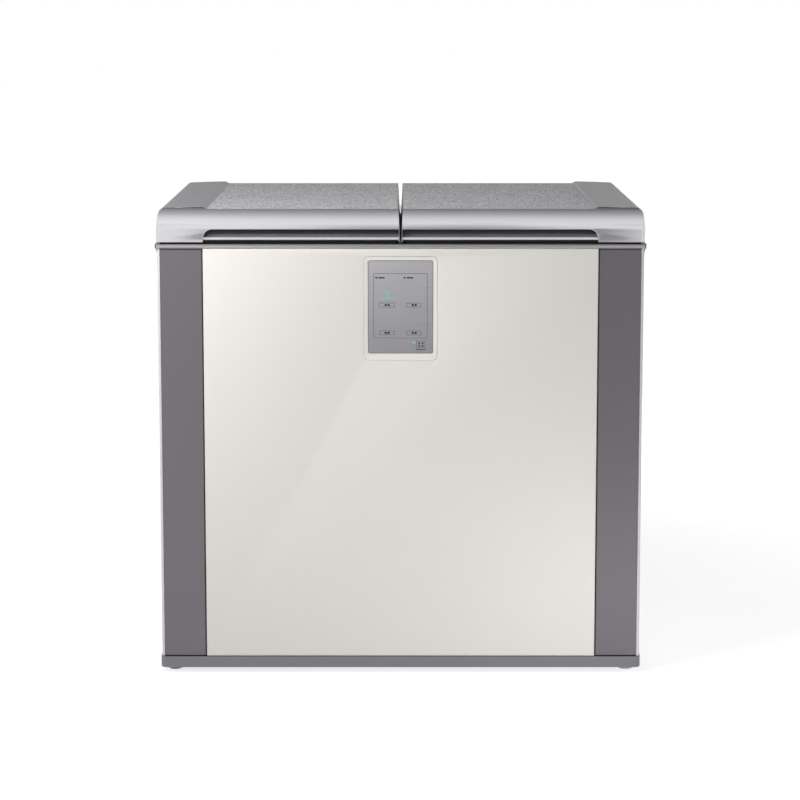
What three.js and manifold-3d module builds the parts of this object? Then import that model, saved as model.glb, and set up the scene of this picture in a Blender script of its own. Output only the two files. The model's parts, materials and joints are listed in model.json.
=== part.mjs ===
// A two-lid, chest-type kimchi refrigerator, built as the assembly of its real pieces.
// Millimetres. +X is the user's right, +Y runs from the front to the back, +Z is up.
// The origin is the middle of the footprint, on the floor.
import * as THREE from "three";
import { mergeVertices } from "three/addons/utils/BufferGeometryUtils.js";
import Module from "manifold-3d";

const wasm = await Module();
wasm.setup();

// ---------------------------------------------------------------- driving sizes
const rimWidth = 925; // over the plastic rim, the widest piece
const overallDepth = 700; // lid front to the wall spacers
const overallHeight = 896; // floor to the raised wings of the lids
const fitGap = 0.3; // between pieces that are seated on each other
const runningGap = 0.3; // radial, between a pin and what turns on it

const footHeight = 10.5; // floor to the underside of the base
const baseInset = 1.5; // rim end to base side
const baseBandHeight = 21.2;
const basePlate = 2.5;
const baseWall = 3;
const baseCornerRadius = 12;
const bossRadius = 9; // threaded boss of a levelling foot
const bossHeight = 17;

const rimOverhang = 4; // rim end to side panel
const sheet = 1; // side, rear and front steel
const sideFlange = 5.2; // the part of a side panel seen from the front
const sideBendRadius = 4;
const rearFlange = 12;
const rearSheetGap = 11; // wall to the rear sheets, kept by the spacers
const spacerRadius = 9;
const spacerDrop = 34; // top of the machine cover to the spacers
const spacerFromSide = 101.5;
const louvreCount = 7;
const louvreHalf = 65;
const louvreHeight = 5;
const louvrePitch = 17;
const louvreRise = 52; // foot of the cover to the first slot

const frontPanelProud = 5; // pan depth of the wide cream panel
const frontPanelSetback = 3; // behind the lid's front face
const stripWidth = 80.4; // the darker panel on each side of it
const stripSetback = 5.5;
const stripThick = 2.5;
const stripGapHigh = 3.5; // dark line above and below a strip
const stripBevel = 1.8; // towards the front panel
const stripTongue = 0.8; // the thin backing that reaches under the rim and over the base
const frontSheet = 1.2;

const rimHeight = 7.6;
const rimNose = 2.2; // the bevels that leave a nose on its front edge
const gussetDrop = 9; // small corner gusset under each end of the rim
const rimPlate = 6.3;
const rimSkirt = 3.5;
const rimSetback = 0.5;
const rimCornerRadius = 9;
const throatInset = 3; // throat to liner, each side
const throatWall = 2.5;
const throatDepth = 26;
const throatRadius = 26;

const lidHeight = 65; // lid skirt to the top of the wings
const lidLift = 4.6; // skirt to rim
const lidOuterSetback = 2.5; // rim end to lid side
const lidRearSetback = 25; // wall to the lid's back
const lidWall = 3;
const lidSideWall = 7; // at the skirt, because the side leans in above it
const lidCentreWall = 1.7; // beside the gap between the lids
const lidCornerRadius = 8;
const centreGapTop = 3.8; // half the gap between the lids at the top
const centreGapLow = 1.5; // and at the skirt
const wingWidth = 88.5; // plain raised part at the outer side
const wingRise = 4; // above the inlay
const wingSlope = 6; // width of the bevel down to the inlay
const inlayThick = 1;
const inlayEdge = 1.8; // plastic left beside the inlay, at the centre
const inlayFrontInset = 18;
const inlayRearInset = 6;
const handleDepth = 23; // front moulding, front to back
const handleSkin = 5; // its front wall, beside the gasket
const gripRise = 24; // skirt to the top of the finger recess
const gripLip = 9; // lid front to the recess's lower lip
const gripDeep = 19; // lid front to the back of the recess, at its top
const gripCornerRadius = 18;
const gripCheek = 3; // plastic left at the centre end of the recess
const gasketHeight = 7.3;
const gasketWidth = 14;
const lidLinerThick = 2.5;
const plugDepth = 22.3; // how far the lid's inner pan dips into the throat
const plugClearance = 9; // pan to throat
const panWall = 2;

const foamSideWall = 57.2;
const foamCentreWall = 44;
const foamFrontWall = 54;
const foamRearWall = 55.7;
const foamFloor = 55.7;
const coilGap = 9; // foam to liner, where the evaporator is wound
const riserGap = 17; // the same on the centre wall, where a riser passes behind the windings
const machineRoomTop = 235;
const linerWall = 1;
const linerRadius = 28;
const linerFlange = 14;
const coilTubeRadius = 3.5;
const coilBendRadius = 24;
const coilTurns = 6;
const coilStartRise = 42; // first turn above the liner's floor
const coilTopDrop = 78.8; // last turn below the liner's flange

const hingeAxisInset = 8; // lid's rear face to the hinge axis
const hingeAxisRise = 12; // skirt to the hinge axis
const hingeFromCentre = 95;
const hingeFromSide = 95;
const pinRadius = 4;
const barrelRadius = 7.5;
const barrelHalf = 19.7;
const pinHeadRadius = 6;
const pinHead = 2;
const earThick = 4;
const earGap = 0.6; // barrel end to ear
const earRadius = 8;
const hingeNotchHalf = 31; // in the lid's back
const hingeNotchRise = 19; // hinge axis to the top of that notch
const bracketFoot = 3;
const leafThick = 3;
const leafHalf = 18;
const leafLength = 61;

const windowWidth = 122.8;
const windowHeight = 176.2;
const bezelSide = 7.6;
const bezelTop = 7.6;
const bezelBottom = 12.7;
const bezelTopDrop = 15.3; // rim's underside to the bezel
const bezelRadius = 10;
const windowRadius = 4;
const windowThick = 2;
const windowLedge = 5; // of the bezel, behind the window's edge
const boardThick = 1.6;
const boardSetback = 2.5; // window to the board's seat
const bezelBack = 6; // bezel behind the window
const windowRecess = 2.4; // behind the front panel's face

const footRadius = 19;
const footSoleRadius = 13;
const footStemRadius = 4;
const footStemTop = 42; // above the floor
const footFromSide = 25.3; // base side to the foot's axis
const footFromFront = 38;
const rollerRadius = 18;
const rollerWidth = 20;
const rollerSideGap = 3; // roller to the axle's ears
const rollerWellGap = 3; // roller to the cut in the base
const axleEarThick = 4;
const axleEarHalf = 8;
const rollerFromSide = 46;
const rollerFromRear = 50;

const compressorFromSide = 246.5;
const compressorFromRear = 108;
const mountPitch = { x: 168, y: 104 }; // between the compressor's four mounts
const compressorPlate = 3;
const grommetStud = 4.2; // radius of the base's studs
const grommetRadius = 11;
const grommetHeight = 16;
const studHeight = 24;
const canRadius = 68;
const canLow = 14; // above the mounting plate's underside
const canHeight = 144;
const pipeRadius = 4;
const capillaryRadius = 2;
const branchSwell = 0.4;
const fanX = 60;
const fanZ = 122;
const fanRadius = 40;
const fanHoleGap = 4;
const bracketThick = 3;
const motorRadius = 27;
const motorLength = 38;
const motorBackWall = 8;
const shaftRadius = 2.5;
const condenserClear = 57; // motor to coil
const condenserInlet = 30; // stub in front of the coil
const condenserFromSide = 62;
const condenserPasses = 5; // odd, so that the coil leaves at the drier's end
const condenserPitch = 34;
const condenserRise = 24; // base to the lowest pass
const finCount = 6;
const finHalf = 20;
const drierDrop = 26; // the coil's last stub, towards the front
const drierLength = 100;
const drierRadius = 9.5;
const controlBoxSize = { width: 190, depth: 110, height: 52 };
const controlBoxFromSide = 130.5;
const controlBoxFromFront = 180;
const glandRadius = 9;
const glandFlange = 13;
const cordRadius = 4.2;
const capillaryRun = 22.1; // drier to the inlet risers, which stand in front of it
const tailSpacing = 22; // risers to the outlet tails, in front of them
const pocketDepth = 9.2; // in the foam, behind the control board

const tubSideGap = 8; // tub's lid to the liner's side walls
const tubEndGap = 6; // and to its end walls and the next tub
const tubHeight = 225;
const tubWall = 2.4;
const tubRadius = 30;
const tubRim = 4;
const tubLidSkirt = 9;
const tubLidThick = 3;
const tubLidRing = 4; // raised frame on a tub's lid
const tubLidRingInset = 26;

// ---------------------------------------------------------------- sizes that follow
const frontY = -overallDepth / 2;
const rearY = overallDepth / 2;
const rearSheetY = rearY - rearSheetGap; // outer face of the rear sheets
const baseTop = footHeight + baseBandHeight;
const lidSkirtZ = overallHeight - lidHeight;
const rimTop = lidSkirtZ - lidLift;
const rimLow = rimTop - rimHeight;
const baseHalf = rimWidth / 2 - baseInset;
const sideOuter = rimWidth / 2 - rimOverhang;
const sideInner = sideOuter - sheet;
const panelLow = baseTop + fitGap;
const panelHigh = rimLow - fitGap;
const frontPanelHalf = sideOuter - sideFlange - stripWidth - 2 * fitGap;
const frontPanelY = frontY + frontPanelSetback;
const stripY = frontY + stripSetback;
const foamFrontY = stripY + stripThick + fitGap;
const foamRearY = rearSheetY - sheet - fitGap - sheet - fitGap;
const foamTop = rimTop - rimPlate - fitGap - linerWall - fitGap;
const foamOuterX = sideInner - fitGap;

const cavity = {
  x0: foamCentreWall / 2,
  x1: foamOuterX - foamSideWall,
  y0: foamFrontY + foamFrontWall,
  y1: foamRearY - foamRearWall,
  z0: machineRoomTop + foamFloor,
};
const liner = {
  x0: cavity.x0 + riserGap,
  x1: cavity.x1 - coilGap,
  y0: cavity.y0 + coilGap,
  y1: cavity.y1 - coilGap,
  z0: cavity.z0 + fitGap,
  z1: foamTop + fitGap + linerWall,
};
const throat = {
  x0: liner.x0 + linerWall + throatInset,
  x1: liner.x1 - linerWall - throatInset,
  y0: liner.y0 + linerWall + throatInset,
  y1: liner.y1 - linerWall - throatInset,
};

const lidOuter = rimWidth / 2 - lidOuterSetback;
const lidRearY = rearY - lidRearSetback;
const inlayZ = overallHeight - wingRise; // top of the patterned sheet
const deckZ = inlayZ - inlayThick - fitGap;
const wingX = lidOuter - wingWidth;
const hingeY = lidRearY - hingeAxisInset;
const hingeZ = lidSkirtZ + hingeAxisRise;
const gasketLow = rimTop + fitGap;
const lidLinerLow = gasketLow + gasketHeight + fitGap;
const lidLinerTop = lidLinerLow + lidLinerThick;
const seamY = frontY + handleDepth;
const hingeCentres = [hingeFromCentre, lidOuter - hingeFromSide];
const compressorX = -sideInner + compressorFromSide;
const compressorY = rearSheetY - compressorFromRear;
const drierY = compressorY - drierDrop - fitGap; // the drier's rear end
const riserY = drierY - drierLength - capillaryRun; // each evaporator's inlet rises here
const tailY = riserY - tailSpacing; // and its outlet drops into the machine room here

function material(color, roughness, metalness) {
  return new THREE.MeshStandardMaterial({ color, roughness, metalness });
}
const looks = {
  silver: material(0xb4b4b7, 0.35, 0.4),
  inlay: material(0xa6a5a8, 0.4, 0.6),
  cream: material(0xe6e2dc, 0.35, 0.1),
  mauve: material(0x7d787b, 0.4, 0.3),
  steel: material(0xbdbbbe, 0.4, 0.6),
  white: material(0xeeeeec, 0.5, 0),
  foam: material(0xe8d9a0, 0.95, 0),
  aluminium: material(0xc9cbcd, 0.4, 0.9),
  copper: material(0xb87244, 0.35, 0.9),
  black: material(0x1c1c1e, 0.6, 0),
  rubber: material(0x161617, 0.85, 0),
  glass: material(0x9c9b9e, 0.2, 0.3),
  board: material(0x2f6b3d, 0.6, 0),
  foot: material(0xc8c8ca, 0.5, 0),
  tub: material(0xe9e3d2, 0.35, 0),
  tubLid: material(0xb9c4bd, 0.4, 0),
};

// ---------------------------------------------------------------- solids from three.js shapes
function solid(geometry) {
  const loose = geometry.index ? geometry.toNonIndexed() : geometry;
  const bare = new THREE.BufferGeometry().setAttribute("position", loose.getAttribute("position"));
  const merged = mergeVertices(bare, 1e-4);
  return new wasm.Manifold(
    new wasm.Mesh({
      numProp: 3,
      vertProperties: merged.attributes.position.array,
      triVerts: new Uint32Array(merged.index.array),
    }),
  );
}

function geometryOf(body) {
  const mesh = body.getMesh();
  const geometry = new THREE.BufferGeometry();
  geometry.setAttribute("position", new THREE.BufferAttribute(new Float32Array(mesh.vertProperties), 3));
  geometry.setIndex(new THREE.BufferAttribute(new Uint32Array(mesh.triVerts), 1));
  geometry.computeVertexNormals();
  return geometry;
}

function block(x0, x1, y0, y1, z0, z1) {
  const box = new THREE.BoxGeometry(x1 - x0, y1 - y0, z1 - z0);
  return solid(box.translate((x0 + x1) / 2, (y0 + y1) / 2, (z0 + z1) / 2));
}

function outline(points) {
  return new THREE.Shape(points.map(([a, b]) => new THREE.Vector2(a, b)));
}

function roundedRect(x0, x1, y0, y1, r) {
  const s = new THREE.Shape();
  s.moveTo(x0 + r, y0);
  s.lineTo(x1 - r, y0);
  s.absarc(x1 - r, y0 + r, r, -Math.PI / 2, 0);
  s.lineTo(x1, y1 - r);
  s.absarc(x1 - r, y1 - r, r, 0, Math.PI / 2);
  s.lineTo(x0 + r, y1);
  s.absarc(x0 + r, y1 - r, r, Math.PI / 2, Math.PI);
  s.lineTo(x0, y0 + r);
  s.absarc(x0 + r, y0 + r, r, Math.PI, 1.5 * Math.PI);
  return s;
}

// the same, symmetric about x = 0 and drawn in by an inset
function roundedPlate(half, y0, y1, r, inset) {
  return roundedRect(-half + inset, half - inset, y0 + inset, y1 - inset, r - inset);
}

// a round corner gets two steps for each of its curve segments
function extruded(shape, length, curveSegments = 2) {
  return new THREE.ExtrudeGeometry(shape, { depth: length, bevelEnabled: false, curveSegments });
}

// a plan outline (x, y), raised from z0 to z1
function alongZ(shape, z0, z1, curveSegments) {
  return solid(extruded(shape, z1 - z0, curveSegments).translate(0, 0, z0));
}

// a side outline (y, z), run from x0 to x1
function alongX(shape, x0, x1, curveSegments) {
  const turn = new THREE.Matrix4().makeBasis(
    new THREE.Vector3(0, 1, 0),
    new THREE.Vector3(0, 0, 1),
    new THREE.Vector3(1, 0, 0),
  );
  return solid(extruded(shape, x1 - x0, curveSegments).applyMatrix4(turn).translate(x0, 0, 0));
}

// a front outline (x, z), run from y0 to y1
function alongY(shape, y0, y1, curveSegments) {
  const turn = new THREE.Matrix4().makeBasis(
    new THREE.Vector3(1, 0, 0),
    new THREE.Vector3(0, 0, 1),
    new THREE.Vector3(0, -1, 0),
  );
  return solid(extruded(shape, y1 - y0, curveSegments).applyMatrix4(turn).translate(0, y1, 0));
}

function cylinder(radius, length, axis, sides = 16) {
  const c = new THREE.CylinderGeometry(radius, radius, length, sides);
  if (axis === "x") c.rotateZ(Math.PI / 2);
  if (axis === "z") c.rotateX(Math.PI / 2);
  return c;
}

function rod(radius, length, axis, x, y, z, sides) {
  return solid(cylinder(radius, length, axis, sides).translate(x, y, z));
}

// radii and heights [r, h] turned about +Z
function turned(profile, segments = 20) {
  const points = profile.map(([r, h]) => new THREE.Vector2(r, h));
  return solid(new THREE.LatheGeometry(points, segments).rotateX(Math.PI / 2));
}

// a curve that stops at each of its sample points, so that straights cost one step and bends a few
class SampledPath extends THREE.Curve {
  constructor(samples) {
    super();
    this.samples = samples;
  }
  getUtoTmapping(u) {
    return u;
  }
  getPoint(t, target = new THREE.Vector3()) {
    const place = THREE.MathUtils.clamp(t, 0, 1) * (this.samples.length - 1);
    const i = Math.min(Math.floor(place), this.samples.length - 2);
    return target.lerpVectors(this.samples[i], this.samples[i + 1], place - i);
  }
}

// corner points with each corner rounded to the bend radius
function bentPath(corners, bend, stepsPerBend) {
  const points = corners.map((c) => new THREE.Vector3(...c));
  const samples = [points[0]];
  for (let i = 1; i < points.length - 1; i++) {
    const into = points[i].clone().sub(points[i - 1]).normalize();
    const out = points[i + 1].clone().sub(points[i]).normalize();
    const turn = into.angleTo(out);
    const reach = bend * Math.tan(turn / 2);
    const start = points[i].clone().addScaledVector(into, -reach);
    const middle = out.clone().sub(into).normalize();
    const centre = points[i].clone().addScaledVector(middle, bend / Math.cos(turn / 2));
    const axis = into.clone().cross(out).normalize();
    for (let k = 0; k <= stepsPerBend; k++) {
      const arm = start.clone().sub(centre).applyAxisAngle(axis, (turn * k) / stepsPerBend);
      samples.push(centre.clone().add(arm));
    }
  }
  samples.push(points[points.length - 1]);
  return new SampledPath(samples);
}

function tube(corners, bend, radius, stepsPerBend = 3, sides = 6) {
  const path = bentPath(corners, bend, stepsPerBend);
  const ring = new THREE.Shape();
  for (let i = 0; i < sides; i++) {
    const a = (2 * Math.PI * i) / sides;
    const p = [radius * Math.cos(a), radius * Math.sin(a)];
    if (i) ring.lineTo(...p);
    else ring.moveTo(...p);
  }
  ring.closePath();
  return solid(new THREE.ExtrudeGeometry(ring, { steps: path.samples.length - 1, extrudePath: path }));
}

function piece(name, body, look, position) {
  const mesh = new THREE.Mesh(geometryOf(body), look);
  mesh.name = name;
  if (position) mesh.position.set(...position);
  return mesh;
}

function assembly(...children) {
  const group = new THREE.Group();
  group.add(...children.flat());
  return group;
}

// a group whose children are drawn for the right-hand side, and mirrored for the left
function handed(side, ...children) {
  const group = assembly(...children);
  group.scale.x = side === "right" ? 1 : -1;
  return group;
}

const sides = ["left", "right"];
const signOf = (side) => (side === "right" ? 1 : -1);

// ---------------------------------------------------------------- base, feet and rollers
const footX = baseHalf - footFromSide;
const footY = frontY + footFromFront;
const rollerX = baseHalf - rollerFromSide;
const rollerY = rearSheetY - rollerFromRear;
const plateTop = footHeight + basePlate;
const compressorFeet = [-0.5, 0.5].flatMap((i) =>
  [-0.5, 0.5].map((j) => [compressorX + i * mountPitch.x, compressorY + j * mountPitch.y]),
);

function baseTray() {
  const outer = [baseHalf, frontY + rimSetback, rearSheetY];
  const shell = alongZ(roundedPlate(...outer, baseCornerRadius, 0), footHeight, baseTop);
  const inner = roundedPlate(...outer, baseCornerRadius, baseWall);
  let tray = shell.subtract(alongZ(inner, plateTop, baseTop + 1));
  for (const sign of [-1, 1]) {
    // a threaded boss for each levelling foot
    const x = sign * footX;
    tray = tray.add(rod(bossRadius, bossHeight, "z", x, footY, plateTop + bossHeight / 2));
    tray = tray.subtract(rod(footStemRadius + runningGap, 3 * bossHeight, "z", x, footY, plateTop));
    // a well with two ears and a fixed axle for each roller
    const wellHalf = rollerWidth / 2 + rollerSideGap;
    const wellReach = rollerRadius + rollerWellGap;
    const wheelX = sign * rollerX;
    const [y0, y1] = [rollerY - wellReach, rollerY + wellReach];
    tray = tray.subtract(block(wheelX - wellHalf, wheelX + wellHalf, y0, y1, footHeight - 1, plateTop + 1));
    for (const end of [-1, 1]) {
      const inside = wheelX + end * wellHalf;
      const [x0, x1] = [inside, inside + end * axleEarThick].sort((a, b) => a - b);
      const earTop = rollerRadius + pinRadius + 3;
      tray = tray.add(block(x0, x1, rollerY - axleEarHalf, rollerY + axleEarHalf, footHeight, earTop));
    }
    tray = tray.add(rod(pinRadius, 2 * wellHalf + axleEarThick, "x", wheelX, rollerY, rollerRadius, 12));
  }
  for (const [x, y] of compressorFeet) {
    tray = tray.add(rod(grommetStud, studHeight, "z", x, y, plateTop + studHeight / 2 - 1, 10));
  }
  return piece("base_tray", tray, looks.silver);
}

function levellingFoot(side) {
  const pad = turned([
    [0, 0],
    [footSoleRadius, 0],
    [footSoleRadius + 3, 1.6],
    [footRadius - 0.7, 5],
    [footRadius, footHeight - fitGap],
    [footStemRadius, footHeight - fitGap],
    [footStemRadius, footStemTop],
    [0, footStemTop],
  ]);
  return piece("levelling_foot_" + side, pad, looks.foot, [signOf(side) * footX, footY, 0]);
}

function roller(side) {
  const bore = pinRadius + runningGap;
  const half = rollerWidth / 2;
  const edge = 2;
  const wheel = turned([
    [bore, -half],
    [rollerRadius - edge, -half],
    [rollerRadius, -half + edge],
    [rollerRadius, half - edge],
    [rollerRadius - edge, half],
    [bore, half],
    [bore, -half],
  ]);
  const place = [signOf(side) * rollerX, rollerY, rollerRadius];
  const mesh = piece("rear_roller_" + side, wheel, looks.rubber, place);
  mesh.rotation.y = Math.PI / 2;
  return mesh;
}

// ---------------------------------------------------------------- outer panels
function sidePanel(side) {
  const flangeX = sideOuter - sideFlange;
  const y0 = stripY - 0.5;
  const y1 = rearSheetY - sheet - fitGap;
  const r = sideBendRadius;
  const s = new THREE.Shape();
  s.moveTo(flangeX, y0);
  s.lineTo(sideOuter - r, y0);
  s.absarc(sideOuter - r, y0 + r, r, -Math.PI / 2, 0);
  s.lineTo(sideOuter, y1);
  s.lineTo(sideOuter - rearFlange, y1);
  s.lineTo(sideOuter - rearFlange, y1 - sheet);
  s.lineTo(sideInner, y1 - sheet);
  s.lineTo(sideInner, y0 + r);
  s.absarc(sideOuter - r, y0 + r, r - sheet, 0, -Math.PI / 2, true);
  s.lineTo(flangeX, y0 + sheet);
  return handed(side, piece("side_panel_" + side, alongZ(s, panelLow, panelHigh), looks.steel));
}

function frontStrip(side) {
  const x0 = frontPanelHalf + fitGap;
  const x1 = sideOuter - sideFlange - fitGap;
  const y0 = stripY;
  const y1 = stripY + stripThick;
  const plan = outline([
    [x0, y1],
    [x0, y1 - 0.6],
    [x0 + stripBevel, y0],
    [x1, y0],
    [x1, y1],
  ]);
  const body = alongZ(plan, panelLow + stripGapHigh, panelHigh - stripGapHigh);
  const backing = block(x0, x1, y1 - stripTongue, y1, panelLow, panelHigh);
  return handed(side, piece("front_strip_" + side, body.add(backing), looks.mauve));
}

const bezel = (() => {
  const z1 = rimLow - bezelTopDrop;
  const half = windowWidth / 2 + bezelSide;
  return { half, z1, z0: z1 - bezelTop - windowHeight - bezelBottom };
})();
const window0 = { z1: bezel.z1 - bezelTop, z0: bezel.z1 - bezelTop - windowHeight };

const windowBackY = frontPanelY + windowRecess + windowThick;
const boardY = windowBackY + fitGap + boardSetback + fitGap;
const boardEdge = { half: windowWidth / 2 - 2, z0: window0.z0 + 2, z1: window0.z1 - 2 };

const bezelShape = (grow) =>
  roundedRect(-bezel.half - grow, bezel.half + grow, bezel.z0 - grow, bezel.z1 + grow, bezelRadius);

function frontPanel() {
  const w = frontPanelHalf;
  const back = frontPanelY + frontPanelProud;
  const pan = block(-w, w, frontPanelY, back, panelLow, panelHigh);
  const t = frontSheet;
  const hollow = block(-w + t, w - t, frontPanelY + t, back + 1, panelLow + t, panelHigh - t);
  const cutout = alongY(bezelShape(fitGap), frontPanelY - 1, back, 3);
  return piece("front_panel", pan.subtract(hollow).subtract(cutout), looks.cream);
}

function rearPanel() {
  const body = block(-sideInner, sideInner, rearSheetY - sheet, rearSheetY, coverTop, panelHigh);
  return piece("rear_panel", body, looks.steel);
}

const inletAt = { x: -sideInner + 62, z: baseTop + 60 };
const spacerX = sideOuter - spacerFromSide;
const coverTop = machineRoomTop + 6;

function machineCover() {
  const z0 = panelLow;
  const z1 = coverTop - fitGap;
  let cover = block(-sideInner, sideInner, rearSheetY - sheet, rearSheetY, z0, z1);
  // louvres behind the compressor and behind the condenser
  for (const x of [compressorX, -compressorX]) {
    for (let i = 0; i < louvreCount; i++) {
      const z = z0 + louvreRise + i * louvrePitch;
      const slot = block(x - louvreHalf, x + louvreHalf, rearSheetY - 5, rearSheetY + 5, z, z + louvreHeight);
      cover = cover.subtract(slot);
    }
  }
  // two spacers keep the back clear of the wall
  for (const x of [-spacerX, spacerX]) {
    const length = rearY - rearSheetY;
    const spacer = new THREE.CylinderGeometry(spacerRadius, spacerRadius + 6, length, 16);
    cover = cover.add(solid(spacer.translate(x, rearSheetY + length / 2, z1 - spacerDrop)));
  }
  const hole = rod(glandRadius + fitGap, 10, "y", inletAt.x, rearSheetY, inletAt.z);
  return piece("machine_cover", cover.subtract(hole), looks.steel);
}

function cordGland() {
  const inside = -6;
  const outside = 9;
  const gland = turned([
    [cordRadius, inside],
    [glandRadius, inside],
    [glandRadius, fitGap],
    [glandFlange, fitGap],
    [glandFlange, 3],
    [glandRadius - 1, outside],
    [cordRadius, outside],
    [cordRadius, inside],
  ]);
  const mesh = piece("power_cord_gland", gland, looks.black, [inletAt.x, rearSheetY, inletAt.z]);
  mesh.rotation.x = -Math.PI / 2;
  return mesh;
}

function topFrame() {
  const half = rimWidth / 2;
  const outer = [half, frontY + rimSetback, rearSheetY + 1];
  const plate = alongZ(roundedPlate(...outer, rimCornerRadius, 0), rimLow, rimTop);
  const under = alongZ(roundedPlate(...outer, rimCornerRadius, rimSkirt), rimLow - 1, rimTop - rimPlate);
  let frame = plate.subtract(under);
  // the front edge is bevelled at its top and bottom
  const edgeY = frontY + rimSetback;
  for (const [edgeZ, inwards] of [
    [rimTop, -1],
    [rimLow, 1],
  ]) {
    const corner = outline([
      [edgeY - 1, edgeZ - inwards],
      [edgeY - 1, edgeZ + inwards * rimNose],
      [edgeY, edgeZ + inwards * rimNose],
      [edgeY + rimNose, edgeZ],
      [edgeY + rimNose, edgeZ - inwards],
    ]);
    frame = frame.subtract(alongX(corner, -half - 1, half + 1));
  }
  for (const sign of [-1, 1]) {
    const [x0, x1] = [sign * throat.x0, sign * throat.x1].sort((a, b) => a - b);
    const hole = roundedRect(x0, x1, throat.y0, throat.y1, throatRadius);
    const skirt = roundedRect(
      x0 - throatWall,
      x1 + throatWall,
      throat.y0 - throatWall,
      throat.y1 + throatWall,
      throatRadius + throatWall,
    );
    frame = frame.add(alongZ(skirt, rimTop - throatDepth, rimTop - 1));
    frame = frame.subtract(alongZ(hole, rimTop - throatDepth - 1, rimTop + 1));
    const panelFace = sideOuter + fitGap;
    const gusset = outline([
      [sign * (half - 1), rimLow + 1],
      [sign * panelFace, rimLow + 1],
      [sign * panelFace, rimLow - gussetDrop],
    ]);
    frame = frame.add(alongY(gusset, edgeY + rimCornerRadius, edgeY + rimCornerRadius + 14));
  }
  return piece("top_frame", frame, looks.silver);
}

// ---------------------------------------------------------------- insulated body
const tailX = liner.x0 - fitGap - coilTubeRadius;
const riserX = tailX - 2 * coilTubeRadius - 0.6;
const tailHole = coilTubeRadius + 2.5;
const tailBottom = machineRoomTop - 10; // where the evaporators' tails are brazed on

function insulation() {
  const w = foamOuterX;
  let foam = block(-w, w, foamFrontY, foamRearY, machineRoomTop, foamTop);
  // the foam fills the front panel's pan, below the rim and down to the machine room
  const pad = frontPanelHalf - frontSheet - fitGap;
  const padTop = panelHigh - frontSheet - fitGap;
  const padY = frontPanelY + frontSheet + fitGap;
  foam = foam.add(block(-pad, pad, padY, foamFrontY + 1, machineRoomTop, padTop));
  const pocket = alongY(bezelShape(6), frontY, foamFrontY + pocketDepth, 2);
  foam = foam.subtract(pocket);
  for (const sign of [-1, 1]) {
    const [x0, x1] = [sign * cavity.x0, sign * cavity.x1].sort((a, b) => a - b);
    const well = roundedRect(x0, x1, cavity.y0, cavity.y1, linerRadius);
    foam = foam.subtract(alongZ(well, cavity.z0, foamTop + 1));
    for (const [x, y] of [
      [tailX, tailY],
      [riserX, riserY],
    ])
      foam = foam.subtract(rod(tailHole, 90, "z", sign * x, y, cavity.z0 - 30, 10));
  }
  return piece("insulation_foam", foam, looks.foam);
}

function linerTub(side) {
  const { x0, x1, y0, y1, z0, z1 } = liner;
  const shell = alongZ(roundedRect(x0, x1, y0, y1, linerRadius), z0, z1);
  const f = linerFlange;
  const flange = alongZ(roundedRect(x0 - f, x1 + f, y0 - f, y1 + f, linerRadius + f), z1 - linerWall, z1);
  const t = linerWall;
  const inside = alongZ(roundedRect(x0 + t, x1 - t, y0 + t, y1 - t, linerRadius - t), z0 + t, z1 + 1);
  return handed(side, piece("liner_" + side, shell.add(flange).subtract(inside), looks.aluminium));
}

function evaporator(side) {
  const out = fitGap + coilTubeRadius;
  const x0 = liner.x0 - out;
  const x1 = liner.x1 + out;
  const y0 = liner.y0 - out;
  const y1 = liner.y1 + out;
  const first = liner.z0 + coilStartRise;
  const step = (liner.z1 - coilTopDrop - first) / (coilTurns * 4);
  const ring = [
    [x0, y0],
    [x1, y0],
    [x1, y1],
    [x0, y1],
  ];
  const corners = [
    [x0, tailY, tailBottom],
    [x0, tailY, first],
  ];
  for (let i = 0; i < coilTurns * 4; i++) corners.push([...ring[i % 4], first + i * step]);
  const top = first + coilTurns * 4 * step;
  corners.push([riserX, riserY, top], [riserX, riserY, tailBottom]);
  const coil = tube(corners, coilBendRadius, coilTubeRadius, 2);
  return handed(side, piece("evaporator_" + side, coil, looks.copper));
}

// ---------------------------------------------------------------- control panel
function controlBezel() {
  const front = frontPanelY - 0.4;
  const back = windowBackY + fitGap;
  const w = windowWidth / 2 + fitGap;
  const body = alongY(bezelShape(0), front, back + bezelBack, 4);
  const dish = roundedRect(-w, w, window0.z0 - fitGap, window0.z1 + fitGap, windowRadius);
  const ledge = windowLedge;
  const through = block(-w + ledge, w - ledge, front, back + 10, window0.z0 + ledge, window0.z1 - ledge);
  const { half, z0, z1 } = boardEdge;
  const g = fitGap;
  const boardSeat = block(-half - g, half + g, boardY - g, back + 10, z0 - g, z1 + g);
  const shell = body.subtract(alongY(dish, front - 1, back, 3)).subtract(through);
  return piece("control_bezel", shell.subtract(boardSeat), looks.cream);
}

function controlWindow() {
  const w = windowWidth / 2;
  const pane = roundedRect(-w, w, window0.z0, window0.z1, windowRadius);
  return piece("control_window", alongY(pane, windowBackY - windowThick, windowBackY, 3), looks.glass);
}

function controlBoard() {
  const { half, z0, z1 } = boardEdge;
  const body = block(-half, half, boardY, boardY + boardThick, z0, z1);
  const connector = block(-14, 14, boardY + boardThick, boardY + boardThick + 4.4, z0 + 12, z0 + 20);
  return piece("control_board", body.add(connector), looks.board);
}

// ---------------------------------------------------------------- machine room
const grommetLow = plateTop + fitGap;
const grommetTop = grommetLow + grommetHeight;
const condenserLow = plateTop + condenserRise;
const condenserTop = condenserLow + (condenserPasses - 1) * condenserPitch;
const condenserX0 = fanX + bracketThick + motorLength + condenserClear;
const condenserX1 = sideInner - condenserFromSide;
const fanY = compressorY; // fan, condenser and compressor share one air path
const stubReach = canRadius + 18; // the compressor's pipe stubs, in front of its axis
const stubEndY = compressorY - stubReach - fitGap;
const dischargeAt = { x: compressorX + 40, z: condenserTop };
const suctionAt = { x: compressorX - 42, z: grommetTop + 96 };

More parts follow.
